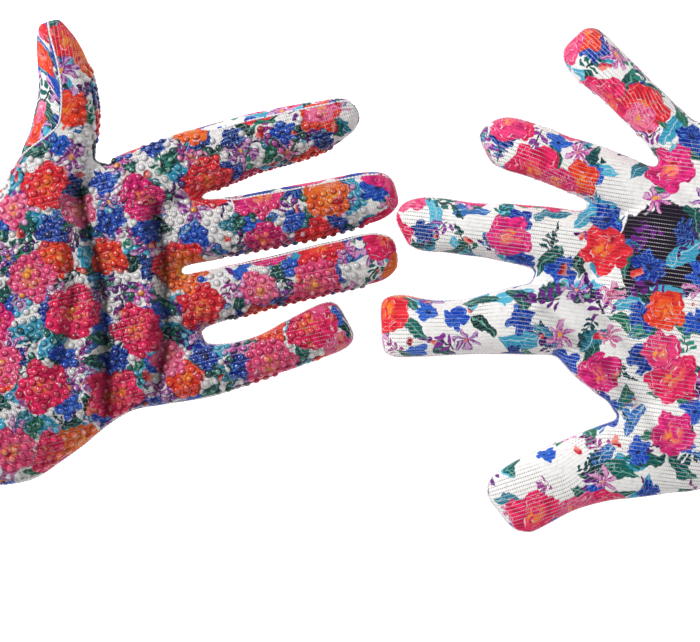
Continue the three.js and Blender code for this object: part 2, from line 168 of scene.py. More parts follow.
# hand: rows of left edge x, y, right edge x, y, height above the seam, depth below it.
# webs: x, y and radius of the ball in each fork.
# digits: how far each is rolled about its own axis, in degrees, which shows the left glove's back
# panels; how far from its tip the dots end; and rows of x, y, width, height above the seam, depth
# below it, from inside the hand to the tip.
# folds: depth, then the line of the ridge; the crease runs on the left of that line.
# relief: mounds and hollows as x, y, radius, height.
LEFT = {
    "side": "left", "palm_up": True, "heading": 14.0, "base": 0.0,
    "hand": [
        (-182.5, 2.7, -151.5, -66.7, 13.5, 6.0), (-163, 27, -127, -63, 16.0, 7.5),
        (-140, 44, -108.6, -52, 15.5, 7.5), (-120, 50, -93, -39.6, 13.0, 7.5),
        (-104, 56, -78, -32, 11.0, 7.5), (-88, 62.5, -68, -29.5, 9.5, 7.5),
        (-74, 63, -65, -25, 7.0, 6.5), (-69, 50, -66.5, -9, 4.5, 4.5),
    ],
    "webs": [(-98, 54.5, 8), (-66, 46.5, 7.5), (-73, 20, 6.5), (-64.6, -7.5, 7.5)],
    "digits": {
        "index": (46, 14.5, [
            (-90, 53, 23.4, 9.5, 7.5), (-60, 62.6, 25.6, 9.5, 7.5), (-38, 69.8, 23, 9.3, 7.5),
            (-19.6, 74.6, 21.8, 8.8, 7.5), (-8, 78.4, 18.6, 7.6, 7.0), (-1.2, 81.6, 14, 5.6, 5.5),
            (2.2, 84, 8.6, 3.0, 3.2)]),
        "middle": (36, 13, [
            (-88, 28.4, 22.6, 9.5, 7.5), (-60, 35, 24, 9.5, 7.5), (-41, 38.3, 22.8, 9.4, 7.5),
            (-19.6, 42.4, 22.4, 9.2, 7.5), (3.9, 48, 21.2, 8.4, 7.3), (12, 50, 19.2, 7.0, 6.5),
            (16.2, 51, 15, 5.0, 5.0), (18, 51.5, 10.6, 3.0, 3.2)]),
        "ring": (26, 15, [
            (-88, 2, 22, 9.2, 7.5), (-60, 8, 21.6, 9.2, 7.5), (-43, 12.4, 20.8, 9.0, 7.5),
            (-27.5, 16.3, 20.2, 8.8, 7.5), (-3.9, 21.9, 19.8, 8.4, 7.5), (9, 24.9, 20, 7.4, 6.8),
            (15, 26.1, 17, 5.4, 5.2), (18.4, 26.6, 11.6, 3.0, 3.2)]),
        "little": (8, 12.5, [
            (-88, -25, 20, 9.0, 7.5), (-60, -19.8, 21.2, 9.0, 7.5), (-43, -16.8, 17.8, 8.8, 7.5),
            (-32, -13.2, 17.2, 8.8, 7.5), (-20, -7.8, 19.2, 8.4, 7.5), (-10, -3.2, 20.4, 7.6, 7.0),
            (-4.6, -0.9, 19.4, 5.8, 5.6), (-1.6, 0.6, 15.4, 3.0, 3.2)]),
        "thumb": (84, 20, [
            (-144, 4, 30, 10.5, 7.5), (-129, 34, 33, 11, 7.5), (-118.4, 55, 29, 10.5, 7.5),
            (-112.6, 72, 27, 10.2, 7.5), (-111, 86, 24.6, 10, 7.5), (-112.2, 97, 21, 9.0, 7.3),
            (-114.6, 106, 18, 7.6, 6.8), (-117, 113.4, 13.4, 5.4, 5.2), (-118.2, 118, 8.6, 3.2, 3.4)]),
    },
    "folds": [
        (6.0, [(-110, 56), (-107.5, 48), (-104, 34), (-100.5, 24), (-97.7, 9), (-97.4, -20), (-97.2, -46)]),
        (5.4, [(-79, 47), (-77.4, 41.4), (-75.1, 27.5), (-74.2, 9), (-73.7, -3), (-75.7, -16), (-78, -34)]),
        (2.2, [(-114, 52), (-110.5, 36), (-109.5, 10), (-111.5, -8), (-118, -24)]),
    ],
    "relief": [(-122, 34, 20, 3.0), (-118, -28, 20, 3.5), (-86, 2, 13, 2.2), (-86, 34, 12, 2.0),
               (-141, 4, 24, -2.5)],
}

RIGHT = {
    "side": "right", "palm_up": False, "heading": 172.0, "base": RIGHT_BASE,
    "hand": [
        (189, -41, 196, 34, 13.5, 6.0), (163, -52, 171, 56, 16.0, 7.5),
        (135, -47, 149, 73, 15.5, 7.5), (115, -38, 137, 78.5, 13.5, 7.5),
        (96.4, -29, 130, 72.5, 11.5, 7.5), (85.8, -19.4, 122, 62.5, 10.0, 7.5),
        (80.5, -12, 115, 55, 7.5, 6.5), (83, -4, 112, 49, 5.0, 5.0),
    ],
    "webs": [(133, 59, 5), (100, 41.9, 8), (80, 16.2, 8.5), (109.5, -30, 8.5)],
    "digits": {
        "index": (0, 14, [
            (104, 2, 29, 10, 7.5), (84, 1.4, 29.2, 10, 7.5), (70, 0.7, 27.6, 9.8, 7.5),
            (58, -0.8, 24.6, 9.4, 7.5), (44, -2.4, 21.4, 9.2, 7.5), (28, -2.4, 22.2, 8.4, 7.2),
            (20.5, -1.8, 24.8, 6.8, 6.2), (15, -2, 24, 4.2, 4.4), (12.4, -2.2, 20, 2.0, 2.4)]),
        "middle": (0, 14, [
            (110, 26, 26, 10, 7.5), (92, 29.6, 26, 10, 7.5), (76, 32.5, 25, 9.8, 7.5),
            (62, 34.7, 22.8, 9.4, 7.5), (48, 35.9, 20.4, 9.2, 7.5), (36, 37.6, 20.8, 8.4, 7.2),
            (27.5, 37.8, 21.2, 6.8, 6.2), (22.8, 36.2, 18.4, 4.2, 4.4), (20, 34.8, 13, 2.0, 2.4)]),
        "ring": (0, 14, [
            (128, 45, 22, 9.6, 7.5), (110, 52.2, 22.4, 9.6, 7.5), (97, 57.6, 21.6, 9.4, 7.5),
            (82, 63, 20.2, 9.2, 7.5), (69, 67.8, 20.8, 8.6, 7.3), (61.6, 69.5, 21.2, 6.9, 6.2),
            (56.6, 68.6, 19, 4.3, 4.5), (52.9, 66.8, 13.6, 2.0, 2.4)]),
        "little": (0, 12, [
            (144, 55, 21, 9.4, 7.5), (130.4, 68, 20.4, 9.4, 7.5), (119.4, 80.3, 18.8, 9.2, 7.5),
            (104.5, 94.7, 18.8, 8.8, 7.4), (94.7, 103.8, 20.6, 7.0, 6.3), (90.2, 108.6, 18.8, 4.4, 4.6),
            (87.6, 111.2, 13.6, 2.0, 2.4)]),
        "thumb": (0, 15, [
            (152, -30, 48, 12, 7.5), (132, -44, 46, 11.5, 7.5), (114, -52.2, 33.4, 10.4, 7.5),
            (98, -56.4, 29, 9.8, 7.5), (82, -61.9, 27.2, 9.2, 7.5), (70.5, -67.8, 28, 7.6, 7.0),
            (63.2, -72, 27, 5.2, 5.2), (58.8, -75.4, 19, 2.2, 2.6)]),
    },
    "folds": [
        (1.9, [(112, -30), (97, -15), (84, -2), (74, 8)]),
        (1.6, [(123, -26), (106, -6), (92, 8), (84, 15)]),
        (1.4, [(134, 8), (118, 22), (104, 36), (94, 44)]),
        (1.2, [(146, 30), (134, 44), (126, 55), (120, 62)]),
        (1.8, [(132, -60), (122, -46), (116, -34), (108, -24)]),
    ],
    "relief": [(118, 12, 18, 1.6), (122, 36, 14, 1.4), (130, 58, 12, 1.0), (140, -8, 26, 1.2)],
}

DIGITS = ("thumb", "index", "middle", "ring", "little")
HINGES = {j["child"]: j for j in frame["joints"] if j["type"] == "hinge"}

# The plans' origin in the row frame, from the left index finger's knuckle.
LEFT_INDEX_KNUCKLE = (-62.5, 61.2)
ORIGIN = np.array(HINGES["left_index"]["pos_m"][:2]) / MM - np.array(LEFT_INDEX_KNUCKLE)


# ---------- curves and lofts ----------

def smooth(x):
    x = np.clip(x, 0.0, 1.0)
    return x * x * (3 - 2 * x)


def unit(vectors):
    return vectors / np.maximum(np.linalg.norm(vectors, axis=-1), 1e-9)[..., None]


def run_of(points):
    return unit(np.gradient(points, axis=0))


def lengths(points):
    """How far along a line each of its points is."""
    return np.r_[0, np.cumsum(np.linalg.norm(np.diff(points, axis=0), axis=1))]


def through(rows, step):
    """Rows resampled every `step` along the plan: monotone cubics, but for the plan itself."""
    rows = np.array(rows, float)
    chord = lengths(rows[:, :2])
    gap = np.diff(chord)[:, None]
    slope = np.diff(rows, axis=0) / gap
    before, after = slope[:-1], slope[1:]
    same = before * after > 0
    tangent = np.zeros_like(rows)
    tangent[0], tangent[-1] = slope[0], slope[-1]
    tangent[1:-1] = np.where(same, 2 * before * after / np.where(same, before + after, 1.0), 0.0)
    plan = (before * gap[1:] + after * gap[:-1]) / (gap[1:] + gap[:-1])
    tangent[1:-1, :2] = plan[:, :2]
    at = np.linspace(0, chord[-1], max(2, int(round(chord[-1] / step)) + 1))
    k = np.clip(np.searchsorted(chord, at, side="right") - 1, 0, len(gap) - 1)
    h = gap[k]
    t = (at - chord[k])[:, None] / h
    t2, t3 = t * t, t * t * t
    near = (2 * t3 - 3 * t2 + 1) * rows[k] + (t3 - 2 * t2 + t) * tangent[k] * h
    return near + (3 * t2 - 2 * t3) * rows[k + 1] + (t3 - t2) * tangent[k + 1] * h


def digit_edges(rows):
    """Left and right edge points of a digit's rows, as hand rows give them."""
    run = run_of(rows[:, :2])
    left = np.c_[-run[:, 1], run[:, 0]] * rows[:, 2:3] / 2
    return np.c_[rows[:, :2] + left, rows[:, :2] - left, rows[:, 3:5]]


def power(v):
    return np.sign(v) * np.abs(v) ** (2 / SECTION_POWER)


def between(rings, sides, inward=False):
    """Quads between neighbouring rings of points, facing out or in."""
    faces = []
    for r in range(rings - 1):
        for k in range(sides):
            a, b = r * sides + k, r * sides + (k + 1) % sides
            quad = (a, b, b + sides, a + sides)
            faces.append((a,) + quad[:0:-1] if inward else quad)
    return faces


def loft(edges, base, sides=SIDES):
    """A closed mesh through sections between the edge points: vertices and faces."""
    angle = (np.arange(sides) + 0.5) / sides * 2 * np.pi
    across = (edges[:, 2:4] - edges[:, 0:2]) / 2
    middle = (edges[:, 2:4] + edges[:, 0:2]) / 2
    plan = middle[:, None, :] + across[:, None, :] * power(np.cos(angle))[None, :, None]
    tall = np.where(np.sin(angle) > 0, edges[:, 4:5], edges[:, 5:6]) * power(np.sin(angle))
    verts = np.concatenate([plan, (base + SEAM_HEIGHT + tall)[:, :, None]], axis=2).reshape(-1, 3)
    ends = [tuple(range(sides)), tuple(reversed(range(len(verts) - sides, len(verts))))]
    return verts, between(len(edges), sides, inward=True) + ends


def web(x, y, radius, base):
    """A flattened ball, which fills the fork between two digits."""
    t = np.linspace(-WEB_END, WEB_END, WEB_SECTIONS)
    w = np.sqrt(1 - t * t)
    along, h = x + radius * t, WEB_HEIGHT / 2 * w
    return loft(np.c_[along, y + radius * w, along, y - radius * w, h, h], base, WEB_SIDES)


def wrist_of(spec):
    lx, ly, rx, ry, up, _ = spec["hand"][0]
    width = math.hypot(lx - rx, ly - ry)
    along = np.array([ly - ry, rx - lx]) / width
    return {"centre": np.array([(lx + rx) / 2, (ly + ry) / 2]), "width": width, "up": up,
            "along": along, "right": np.array([along[1], -along[0]])}


# ---------- the skin ----------

def joined(lumps):
    """Several lumps of vertices and faces as one."""
    verts, faces, start = [], [], 0
    for v, f in lumps:
        verts.append(v)
        faces += [tuple(i + start for i in face) for face in f]
        start += len(v)
    return np.vstack(verts), faces


def remeshed(lumps):
    """One closed skin round overlapping lofts: vertices and triangles."""
    verts, faces = joined(lumps)
    mesh = bpy.data.meshes.new("blank")
    mesh.from_pydata((verts * MM).tolist(), [], faces)
    obj = bpy.data.objects.new("blank", mesh)
    bpy.context.scene.collection.objects.link(obj)
    remesh = obj.modifiers.new("remesh", "REMESH")
    remesh.mode = "VOXEL"
    remesh.voxel_size = VOXEL * MM
    done = obj.evaluated_get(bpy.context.evaluated_depsgraph_get()).to_mesh()
    co = np.empty(len(done.vertices) * 3, np.float32)
    done.vertices.foreach_get("co", co)
    done.calc_loop_triangles()
    tris = np.empty(len(done.loop_triangles) * 3, np.int32)
    done.loop_triangles.foreach_get("vertices", tris)
    obj.to_mesh_clear()
    bpy.data.objects.remove(obj)
    bpy.data.meshes.remove(mesh)
    return co.reshape(-1, 3).astype(float) / MM, tris.reshape(-1, 3).astype(int)


def blank(spec, wrist):
    """A glove's uncut skin, from lofts of its hand and digits and balls in the forks."""
    base = spec["base"]
    lx, ly, rx, ry, up, down = spec["hand"][0]
    bx, by = -WRIST_LEAD * wrist["along"]
    lead = (lx + bx, ly + by, rx + bx, ry + by, up, down)
    lumps = [loft(through([lead] + spec["hand"], HAND_STEP), base)]
    for name in DIGITS:
        lumps.append(loft(digit_edges(through(spec["digits"][name][2], DIGIT_STEP)), base))
    return remeshed(lumps + [web(x, y, radius, base) for x, y, radius in spec["webs"]])


def edges_of(tris):
    both = np.vstack([tris[:, [0, 1]], tris[:, [1, 2]], tris[:, [2, 0]]])
    return np.unique(np.sort(both, axis=1), axis=0)


def summed(index, values, count):
    return np.stack([np.bincount(index, values[:, k], count) for k in range(values.shape[1])], axis=1)


def relaxed(co, edges, rounds, held=0.0):
    """Vertices moved halfway to the mean of their neighbours in each round, but for the held ones."""
    n = len(co)
    count = np.bincount(edges.ravel(), minlength=n)[:, None]
    share = 0.5 * (1 - np.reshape(held, (-1, 1)))
    for _ in range(rounds):
        total = summed(edges[:, 0], co[edges[:, 1]], n) + summed(edges[:, 1], co[edges[:, 0]], n)
        co = co + share * (total / count - co)
    return co


def normals_of(co, tris):
    face = np.cross(co[tris[:, 1]] - co[tris[:, 0]], co[tris[:, 2]] - co[tris[:, 0]])
    return unit(sum(summed(tris[:, k], face, len(co)) for k in range(3)))


def noise_at(points, scale, seed):
    """Smooth noise, -1 to 1, at points in mm."""
    return np.array([noise.noise(Vector((x / scale + seed, y / scale, z / scale))) for x, y, z in points])


def beside(points, line):
    """Distance of each plan point from a polyline, positive on its left, and its place along it."""
    best = np.full(len(points), 1e9)
    signed = np.zeros(len(points))
    place = np.zeros(len(points))
    line = np.array(line, float)
    total = len(line) - 1
    for k in range(total):
        a, d = line[k], line[k + 1] - line[k]
        t = np.clip(((points - a) @ d) / (d @ d), 0, 1)
        gap = points - (a + t[:, None] * d)
        far = np.linalg.norm(gap, axis=1)
        near = far < best
        best = np.where(near, far, best)
        signed = np.where(near, far * np.sign(d[0] * gap[:, 1] - d[1] * gap[:, 0]), signed)
        place = np.where(near, (k + t) / total, place)
    return signed, place


def folded(spec, co, normal):
    """The skin with the mounds, folds and small wrinkles, and how much painted crease shadow each point
    gets.
    """
    plan = co[:, :2]
    lift, crease_shadow = np.zeros(len(co)), np.zeros(len(co))
    for x, y, radius, height in spec["relief"]:
        far = np.hypot(plan[:, 0] - x, plan[:, 1] - y)
        lift += height * np.exp(-((far / radius) ** 2))
    for height, line in spec["folds"]:
        signed, place = beside(plan, line)
        ends = smooth(place / FOLD_FADE) * smooth((1 - place) / FOLD_FADE)
        for at, width, rise, dark in FOLD_BELLS:
            bell = ends * np.exp(-(((signed - at) / width) ** 2))
            lift += height * rise * bell
            # painted shadow in the fold's crease, fuller for deeper folds
            crease_shadow += min(height / FULL_SHADOW, 1.0) * dark * bell
    upper = smooth(normal[:, 2] / FOLD_SLOPE)
    out = co.copy()
    out[:, 2] += lift * upper
    for height, scale, seed in WRINKLES:
        out += normal * (height * noise_at(co, scale, seed))[:, None]
    return out, crease_shadow * upper


class Digit:
    """One digit's middle line and where each point of the skin stands against it."""

    def __init__(self, spec, name, co):
        turn, self.dots_from_tip, rows = spec["digits"][name]
        hinge = HINGES[f"{spec['side']}_{name}"]
        self.knuckle = np.array(hinge["pos_m"][:2]) / MM - ORIGIN
        self.heading = ahead_of(spec, hinge)
        self.angle = math.degrees(math.atan2(self.heading[1], self.heading[0]))
        rows = through(rows, CLAIM_STEP)
        run = run_of(rows[:, :2])
        along = lengths(rows[:, :2])
        plan = co[:, :2]
        gap = ((plan[:, None, :] - rows[None, ::2, :2]) ** 2).sum(axis=2)
        near = np.argmin(gap, axis=1) * 2
        away, step = plan - rows[near, :2], run[near]
        across = away[:, 0] * step[:, 1] - away[:, 1] * step[:, 0]
        half = rows[near, 2] / 2
        self.nearness = np.sqrt(gap.min(axis=1)) / half
        self.to_tip = along[-1] - along[near] - (away * step).sum(axis=1)
        self.ahead = (plan - self.knuckle) @ self.heading + BLEND_BEFORE
        self.claims = (self.nearness < CLAIM_REACH) & (self.ahead > -CLAIM_BEHIND)
        height = co[:, 2] - spec["base"] - SEAM_HEIGHT
        tall = np.where(height > 0, rows[near, 3], rows[near, 4])
        roll = math.radians(turn) * smooth(self.ahead / TURN_LENGTH)
        self.seam = DIGIT_SEAM_SCALE * np.sin(np.arctan2(height / tall, across / half) + roll)
        if not spec["palm_up"]:
            self.seam = self.seam - TIP_RIM * smooth(1 - self.to_tip / TIP_RIM_LENGTH)


def ahead_of(spec, hinge):
    """The plan direction from a knuckle to its digit's tip."""
    ax, ay = hinge["axis"][:2]
    return np.array([-ay, ax]) * (1 if spec["palm_up"] else -1)


def seam_and_digits(spec, co):
    """For each point: which digit claims it (-1 for the hand), how far it is beyond the start of
    that digit, and its signed height over the side seam, positive on the palm side."""
    digits = [Digit(spec, name, co) for name in DIGITS]
    near = np.stack([np.where(d.claims, d.nearness, 1e9) for d in digits])
    owner = np.where(near.min(axis=0) < 1e8, np.argmin(near, axis=0), -1)
    facing = 1 if spec["palm_up"] else -1
    seam = facing * (co[:, 2] - spec["base"] - SEAM_HEIGHT)
    beyond = np.full(len(co), -9.0)
    for k, d in enumerate(digits):
        mine = owner == k
        beyond[mine] = d.ahead[mine]
        share = smooth(d.ahead / SEAM_LENGTH)[mine]
        seam[mine] = seam[mine] * (1 - share) + facing * d.seam[mine] * share
    return digits, owner, beyond, seam


def snapped(co, edges, field):
    """Vertices slid along edges onto the field's zero line, so that a cut there is clean."""
    a, b = edges[field[edges[:, 0]] * field[edges[:, 1]] < 0].T
    t = field[a] / (field[a] - field[b])
    who = np.where(t < 0.5, a, b)
    count = np.bincount(who, minlength=len(co))
    total = summed(who, co[a] + t[:, None] * (co[b] - co[a]), len(co))
    moved = count > 0
    out, field = co.copy(), field.copy()
    out[moved] = total[moved] / count[moved][:, None]
    field[moved] = 0.0
    return out, field


def flattened(co, normal, upper):
    """Where each point lies on the flat cloth: the plan, let out where the skin rolls over its edge."""
    level = normal[:, 2] if upper else -normal[:, 2]
    angle = np.minimum(np.arccos(np.clip(level, -1, 1)), ROLL_LIMIT)
    out = normal[:, :2] / np.maximum(np.linalg.norm(normal[:, :2], axis=1), 1e-6)[:, None]
    return co[:, :2] + out * (ROLL_RADIUS * (angle - np.sin(angle)))[:, None]


def turned(points, degrees):
    """Points turned about the origin, by one angle or by an angle each."""
    c, s = np.cos(np.radians(degrees)), np.sin(np.radians(degrees))
    return np.c_[points[:, 0] * c - points[:, 1] * s, points[:, 0] * s + points[:, 1] * c]


def knit_plan(spec, digit, flat):
    """Cloth places along and across the wales, which turn from the hand's heading to the digit's."""
    if digit is None:
        return turned(flat, -spec["heading"])
    bend = (digit.angle - spec["heading"] + 180) % 360 - 180
    angle = spec["heading"] + bend * smooth((digit.ahead - BLEND_BEFORE) / KNIT_TURN)
    return turned(flat - digit.knuckle, -angle) + turned(digit.knuckle[None], -spec["heading"])


# ---------- making pieces ----------

def level(places):
    """Cloth places as three numbers each, the last of them 0."""
    return np.c_[places, np.zeros(len(places))]


def add(spec, part, name, body, slot, look, node=None, normals=None, **carried):
    """Makes a smooth piece from vertices in plan mm and faces, rides a hand piece on the hand or
    bakes a digit piece's transform, and hides the CAD node that it stands for."""
    side, (verts, faces) = spec["side"], body
    mesh = bpy.data.meshes.new(f"{side}_{name}")
    verts = np.c_[(verts[:, :2] + ORIGIN) * MM, verts[:, 2] * MM]
    mesh.from_pydata(verts.tolist(), [], [list(map(int, f)) for f in faces])
    mesh.validate()
    mesh.polygons.foreach_set("use_smooth", [True] * len(mesh.polygons))
    for key, values in carried.items():
        layer = mesh.attributes.new(key, "FLOAT_VECTOR", "POINT")
        layer.data.foreach_set("vector", np.ascontiguousarray(values, np.float32).ravel())
    if normals is not None:
        mesh.normals_split_custom_set_from_vertices(normals.tolist())
    mesh.materials.append(look)
    mesh.update()
    piece = bpy.data.objects.new(f"{side}_{name}", mesh)
    bpy.context.scene.collection.objects.link(piece)
    if part == "hand":
        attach(piece, f"{side}_hand")
    else:
        hinge = HINGES[f"{side}_{part}"]
        at, way = Vector(hinge["pos_m"]), Vector((*ahead_of(spec, hinge), 0))
        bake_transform(piece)
    if node is not None:
        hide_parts(f"{side}_{node}")


def shell(co, faces, normal, thickness, **carried):
    """A closed shell: the outer faces, an inner copy, and a rim round every open edge."""
    used, face = np.unique(faces, return_inverse=True)
    face = face.reshape(faces.shape)
    m, corners = len(used), faces.shape[1]
    directed = np.vstack([face[:, [k, (k + 1) % corners]] for k in range(corners)])
    open_edges = directed[~np.isin(directed @ [m, 1], directed @ [1, m])]
    rim = [(b, a, a + m, b + m) for a, b in open_edges]
    outer, n = co[used], normal[used]
    body = (np.vstack([outer, outer - n * thickness]),
            [tuple(f) for f in face] + [tuple(f[::-1] + m) for f in face] + rim)
    return body, np.vstack([n, -n]), {key: np.vstack([v[used]] * 2) for key, v in carried.items()}


# ---------- grip dots ----------

def dot_places(co, tris, normal, cloth, angle, wanted):
    """Where a staggered grid on the flat cloth meets the skin: points, normals and cloth places."""
    row_gap = math.sqrt(3) / 2
    corners = (turned(cloth[:, :2], -angle) / DOT_PITCH)[tris]
    centre = corners.mean(axis=1)
    base_row = np.floor(centre[:, 1] / row_gap)
    a, ab, ac = corners[:, 0], corners[:, 1] - corners[:, 0], corners[:, 2] - corners[:, 0]
    area = ab[:, 0] * ac[:, 1] - ab[:, 1] * ac[:, 0]
    area = np.where(np.abs(area) < 1e-9, 1e-9, area)
    found = {}
    for row in (base_row, base_row + 1):
        shift = np.where(row % 2 == 0, 0.0, 0.5)
        col = np.round(centre[:, 0] - shift)
        px, py = col + shift - a[:, 0], row * row_gap - a[:, 1]
        u = (px * ac[:, 1] - py * ac[:, 0]) / area
        v = (ab[:, 0] * py - ab[:, 1] * px) / area
        inside = (u >= 0) & (v >= 0) & (u + v <= 1) & wanted
        for k in np.flatnonzero(inside):
            found.setdefault((int(row[k]), int(2 * (col[k] + shift[k]))), (k, u[k], v[k]))
    k, u, v = (np.array(x) for x in zip(*found.values()))
    share = np.stack([1 - u - v, u, v], axis=1)[:, :, None]
    at, up, place = ((values[tris[k]] * share).sum(axis=1) for values in (co, normal, cloth))
    return at, unit(up), place


def domes(at, up, cloth, rng):
    """A dome at each place, and the print that it carries: the cloth's print under it, spread by the
    dome's lens. The print's third number counts the painted crease shadow in steps and holds, as
    its fraction, the distance from the dome's middle."""
    ring = np.arange(DOME_SIDES) / DOME_SIDES * 2 * np.pi
    circle = np.c_[np.cos(ring), np.sin(ring)]
    shape = np.vstack([np.c_[r * circle, np.full(DOME_SIDES, h)] for r, h in DOME] + [[[0, 0, 1]]])
    reach = np.r_[np.repeat([r for r, _ in DOME], DOME_SIDES), 0]
    size = 1 + rng.uniform(-DOT_VARIATION, DOT_VARIATION, len(at))
    side = unit(np.cross(up, [0.0, 1.0, 0.0]))
    local = shape[None] * np.array([DOT_RADIUS, DOT_RADIUS, DOT_HEIGHT]) * size[:, None, None]
    away = local @ np.stack([side, np.cross(up, side), up], axis=1)
    last = len(shape) - 1
    dome = between(len(DOME), DOME_SIDES) + [tuple(reversed(range(DOME_SIDES)))]
    dome += [(last - DOME_SIDES + k, last - DOME_SIDES + (k + 1) % DOME_SIDES, last)
             for k in range(DOME_SIDES)]
    faces = [tuple(i + n * len(shape) for i in face) for n in range(len(at)) for face in dome]
    # the painted crease shadow under each dot, counted in steps
    deep = np.round(np.clip(cloth[:, 2], 0, 1) * CREASE_SHADOW_STEPS)
    third = deep[:, None] + reach[None] * DOME_EDGE
    spread = cloth[:, None, :2] + away[..., :2] * DOT_MAGNIFY
    printed = np.concatenate([spread, third[..., None]], axis=2).reshape(-1, 3)
    return ((at[:, None] + away).reshape(-1, 3), faces), printed


# ---------- seams ----------

def chains(edges):
    """Edges joined end to end into lists of vertices."""
    near = {}
    for a, b in edges.tolist():
        near.setdefault(a, []).append(b)
        near.setdefault(b, []).append(a)
    left = {tuple(sorted(edge)) for edge in edges.tolist()}
    found = []
    for start in [v for v in near if len(near[v]) != 2] + list(near):
        for first in near[start]:
            chain, onward = [start], [first] if tuple(sorted((start, first))) in left else []
            while onward:
                left.discard(tuple(sorted((chain[-1], onward[0]))))
                chain.append(onward[0])
                onward = [v for v in near[chain[-1]] if tuple(sorted((chain[-1], v))) in left]
            found.append(chain)
    return found


def bead(points, normal, radius):
    """A stitched bead along a line on the skin."""
    for _ in range(SEAM_SMOOTHING):
        points[1:-1] = points[1:-1] / 2 + (points[:-2] + points[2:]) / 4
    far = lengths(points)
    at = np.linspace(0, far[-1], max(3, int(far[-1] / SEAM_STEP)))
    line, up = (np.stack([np.interp(at, far, values[:, k]) for k in range(3)], axis=1)
                for values in (points, normal))
    run = run_of(line)
    side = unit(np.cross(run, up))
    up = np.cross(side, run)
    ring = (np.arange(SEAM_SIDES) / SEAM_SIDES * 2 * np.pi)[None, :, None]
    swell = radius * (1 + STITCH_SWELL * np.cos(at * 2 * np.pi / STITCH_PITCH))[:, None, None]
    verts = line[:, None] + (np.cos(ring) * side[:, None] + np.sin(ring) * up[:, None]) * swell
    last = len(at) * SEAM_SIDES
    ends = [tuple(range(SEAM_SIDES)), tuple(reversed(range(last - SEAM_SIDES, last)))]
    return verts.reshape(-1, 3), between(len(at), SEAM_SIDES, inward=True) + ends


def beads(co, normal, edges, tris, radius):
    """Beads along those of the edges that the given triangles reach."""
    owned = np.zeros(len(co), bool)
    owned[tris] = True
    lines = [c for c in chains(edges[owned[edges].all(axis=1)]) if len(c) > SHORTEST_SEAM]
    return joined([bead(co[c], normal[c], radius) for c in lines])


# ---------- a glove ----------

def build_glove(spec, looks):
    side = spec["side"]
    wrist = wrist_of(spec)
    co, tris = blank(spec, wrist)
    edges = edges_of(tris)
    co = relaxed(co, edges, SMOOTHING)

    # The cutting lines: the wrist, the knuckles and the side seam.
    co, ahead = snapped(co, edges, (co[:, :2] - wrist["centre"]) @ wrist["along"])
    _, owner, beyond, _ = seam_and_digits(spec, co)
    co, beyond = snapped(co, edges, beyond)
    digits, _, _, seam = seam_and_digits(spec, co)
    co, seam = snapped(co, edges, seam)

    normal = normals_of(co, tris)
    flat = {"palm": flattened(co, normal, spec["palm_up"]),
            "back": flattened(co, normal, not spec["palm_up"])}
    co, crease_shadow = folded(spec, co, normal)
    co = relaxed(co, edges, FOLD_SMOOTHING, held=np.abs(seam) < HELD_HEIGHT)
    normal = normals_of(co, tris)

    kept = ahead[tris].sum(axis=1) > 0
    most = np.argmax(beyond[tris], axis=1)
    tri_owner = np.where(beyond[tris].sum(axis=1) > 0, owner[tris][np.arange(len(tris)), most], -1)
    tri_palm = seam[tris].sum(axis=1) > 0
    inset = seam[tris].min(axis=1) > DOT_SEAM_MARGIN
    on_seam = edges[(seam[edges] == 0).all(axis=1) & (ahead[edges] >= 0).all(axis=1)]
    for number, part in enumerate(("hand",) + DIGITS):
        mine = kept & (tri_owner == number - 1)
        digit = digits[number - 1] if number else None
        for panel in ("palm", "back"):
            body, normals, carried = shell(
                co, tris[mine & (tri_palm == (panel == "palm"))], normal, SKIN,
                cloth=np.c_[flat[panel], crease_shadow], knit=level(knit_plan(spec, digit, flat[panel])))
            add(spec, part, f"{part}_{panel}_fabric", body, f"{panel}_fabric",
                looks[f"{side}_{panel}"], f"{part}_{panel}_panel", normals, **carried)
        clear = digit.to_tip > digit.dots_from_tip if digit else ahead > DOT_WRIST_MARGIN
        angle = digit.angle if part == "thumb" else spec["heading"]
        at, up, cloth = dot_places(co, tris, normal, np.c_[flat["palm"], crease_shadow], angle,
                                   mine & tri_palm & inset & clear[tris].all(axis=1))
        body, printed = domes(at, up, cloth, np.random.default_rng(DOT_SEED + number))
        add(spec, part, f"{part}_grip_domes", body, "grip_dots", looks[f"{side}_dots"],
            f"{part}_grip_dots", print=printed)
        add(spec, part, f"{part}_side_seam", beads(co, normal, on_seam, tris[mine], SEAM_RADIUS),
            "overlock_thread", looks["seam_thread"])
    at_wrist = edges[(ahead[edges] == 0).all(axis=1)]
    add(spec, "hand", "wrist_seam", beads(co, normal, at_wrist, tris[kept], WRIST_SEAM_RADIUS),
        "overlock_thread", looks["seam_thread"])
    build_cuff(spec, wrist, looks)
    build_label(spec, wrist, looks)


# ---------- cuff ----------

def cuff_width(share):
    """The cuff's width as a share of the wrist's, from the wrist (0) to the mouth (1)."""
    waist = 1 - (1 - CUFF_WAIST) * np.sin(np.pi / 2 * np.minimum(share / WAIST_START, 1))
    return waist + (CUFF_MOUTH - CUFF_WAIST) * np.maximum(share - WAIST_END, 0) / (1 - WAIST_END)


def cuff_point(spec, wrist, distance, angle, inset=0.0):
    """A point of the cuff's wall at a distance behind the wrist and an angle round it."""
    half = wrist["width"] * cuff_width(np.clip(distance / CUFF_LENGTH, 0, 1)) / 2 - inset
    up = wrist["up"] * (1 - CUFF_SINK * smooth(distance / CUFF_SINK_LENGTH)) - inset
    tall = np.where(np.sin(angle) > 0, up, SEAM_HEIGHT - CUFF_RISE - inset)
    middle = wrist["centre"] - distance[..., None] * wrist["along"]
    plan = middle + (half * power(np.cos(angle)))[..., None] * wrist["right"]
    z = spec["base"] + SEAM_HEIGHT + tall * power(np.sin(angle))
    return np.concatenate([plan, z[..., None]], axis=-1)


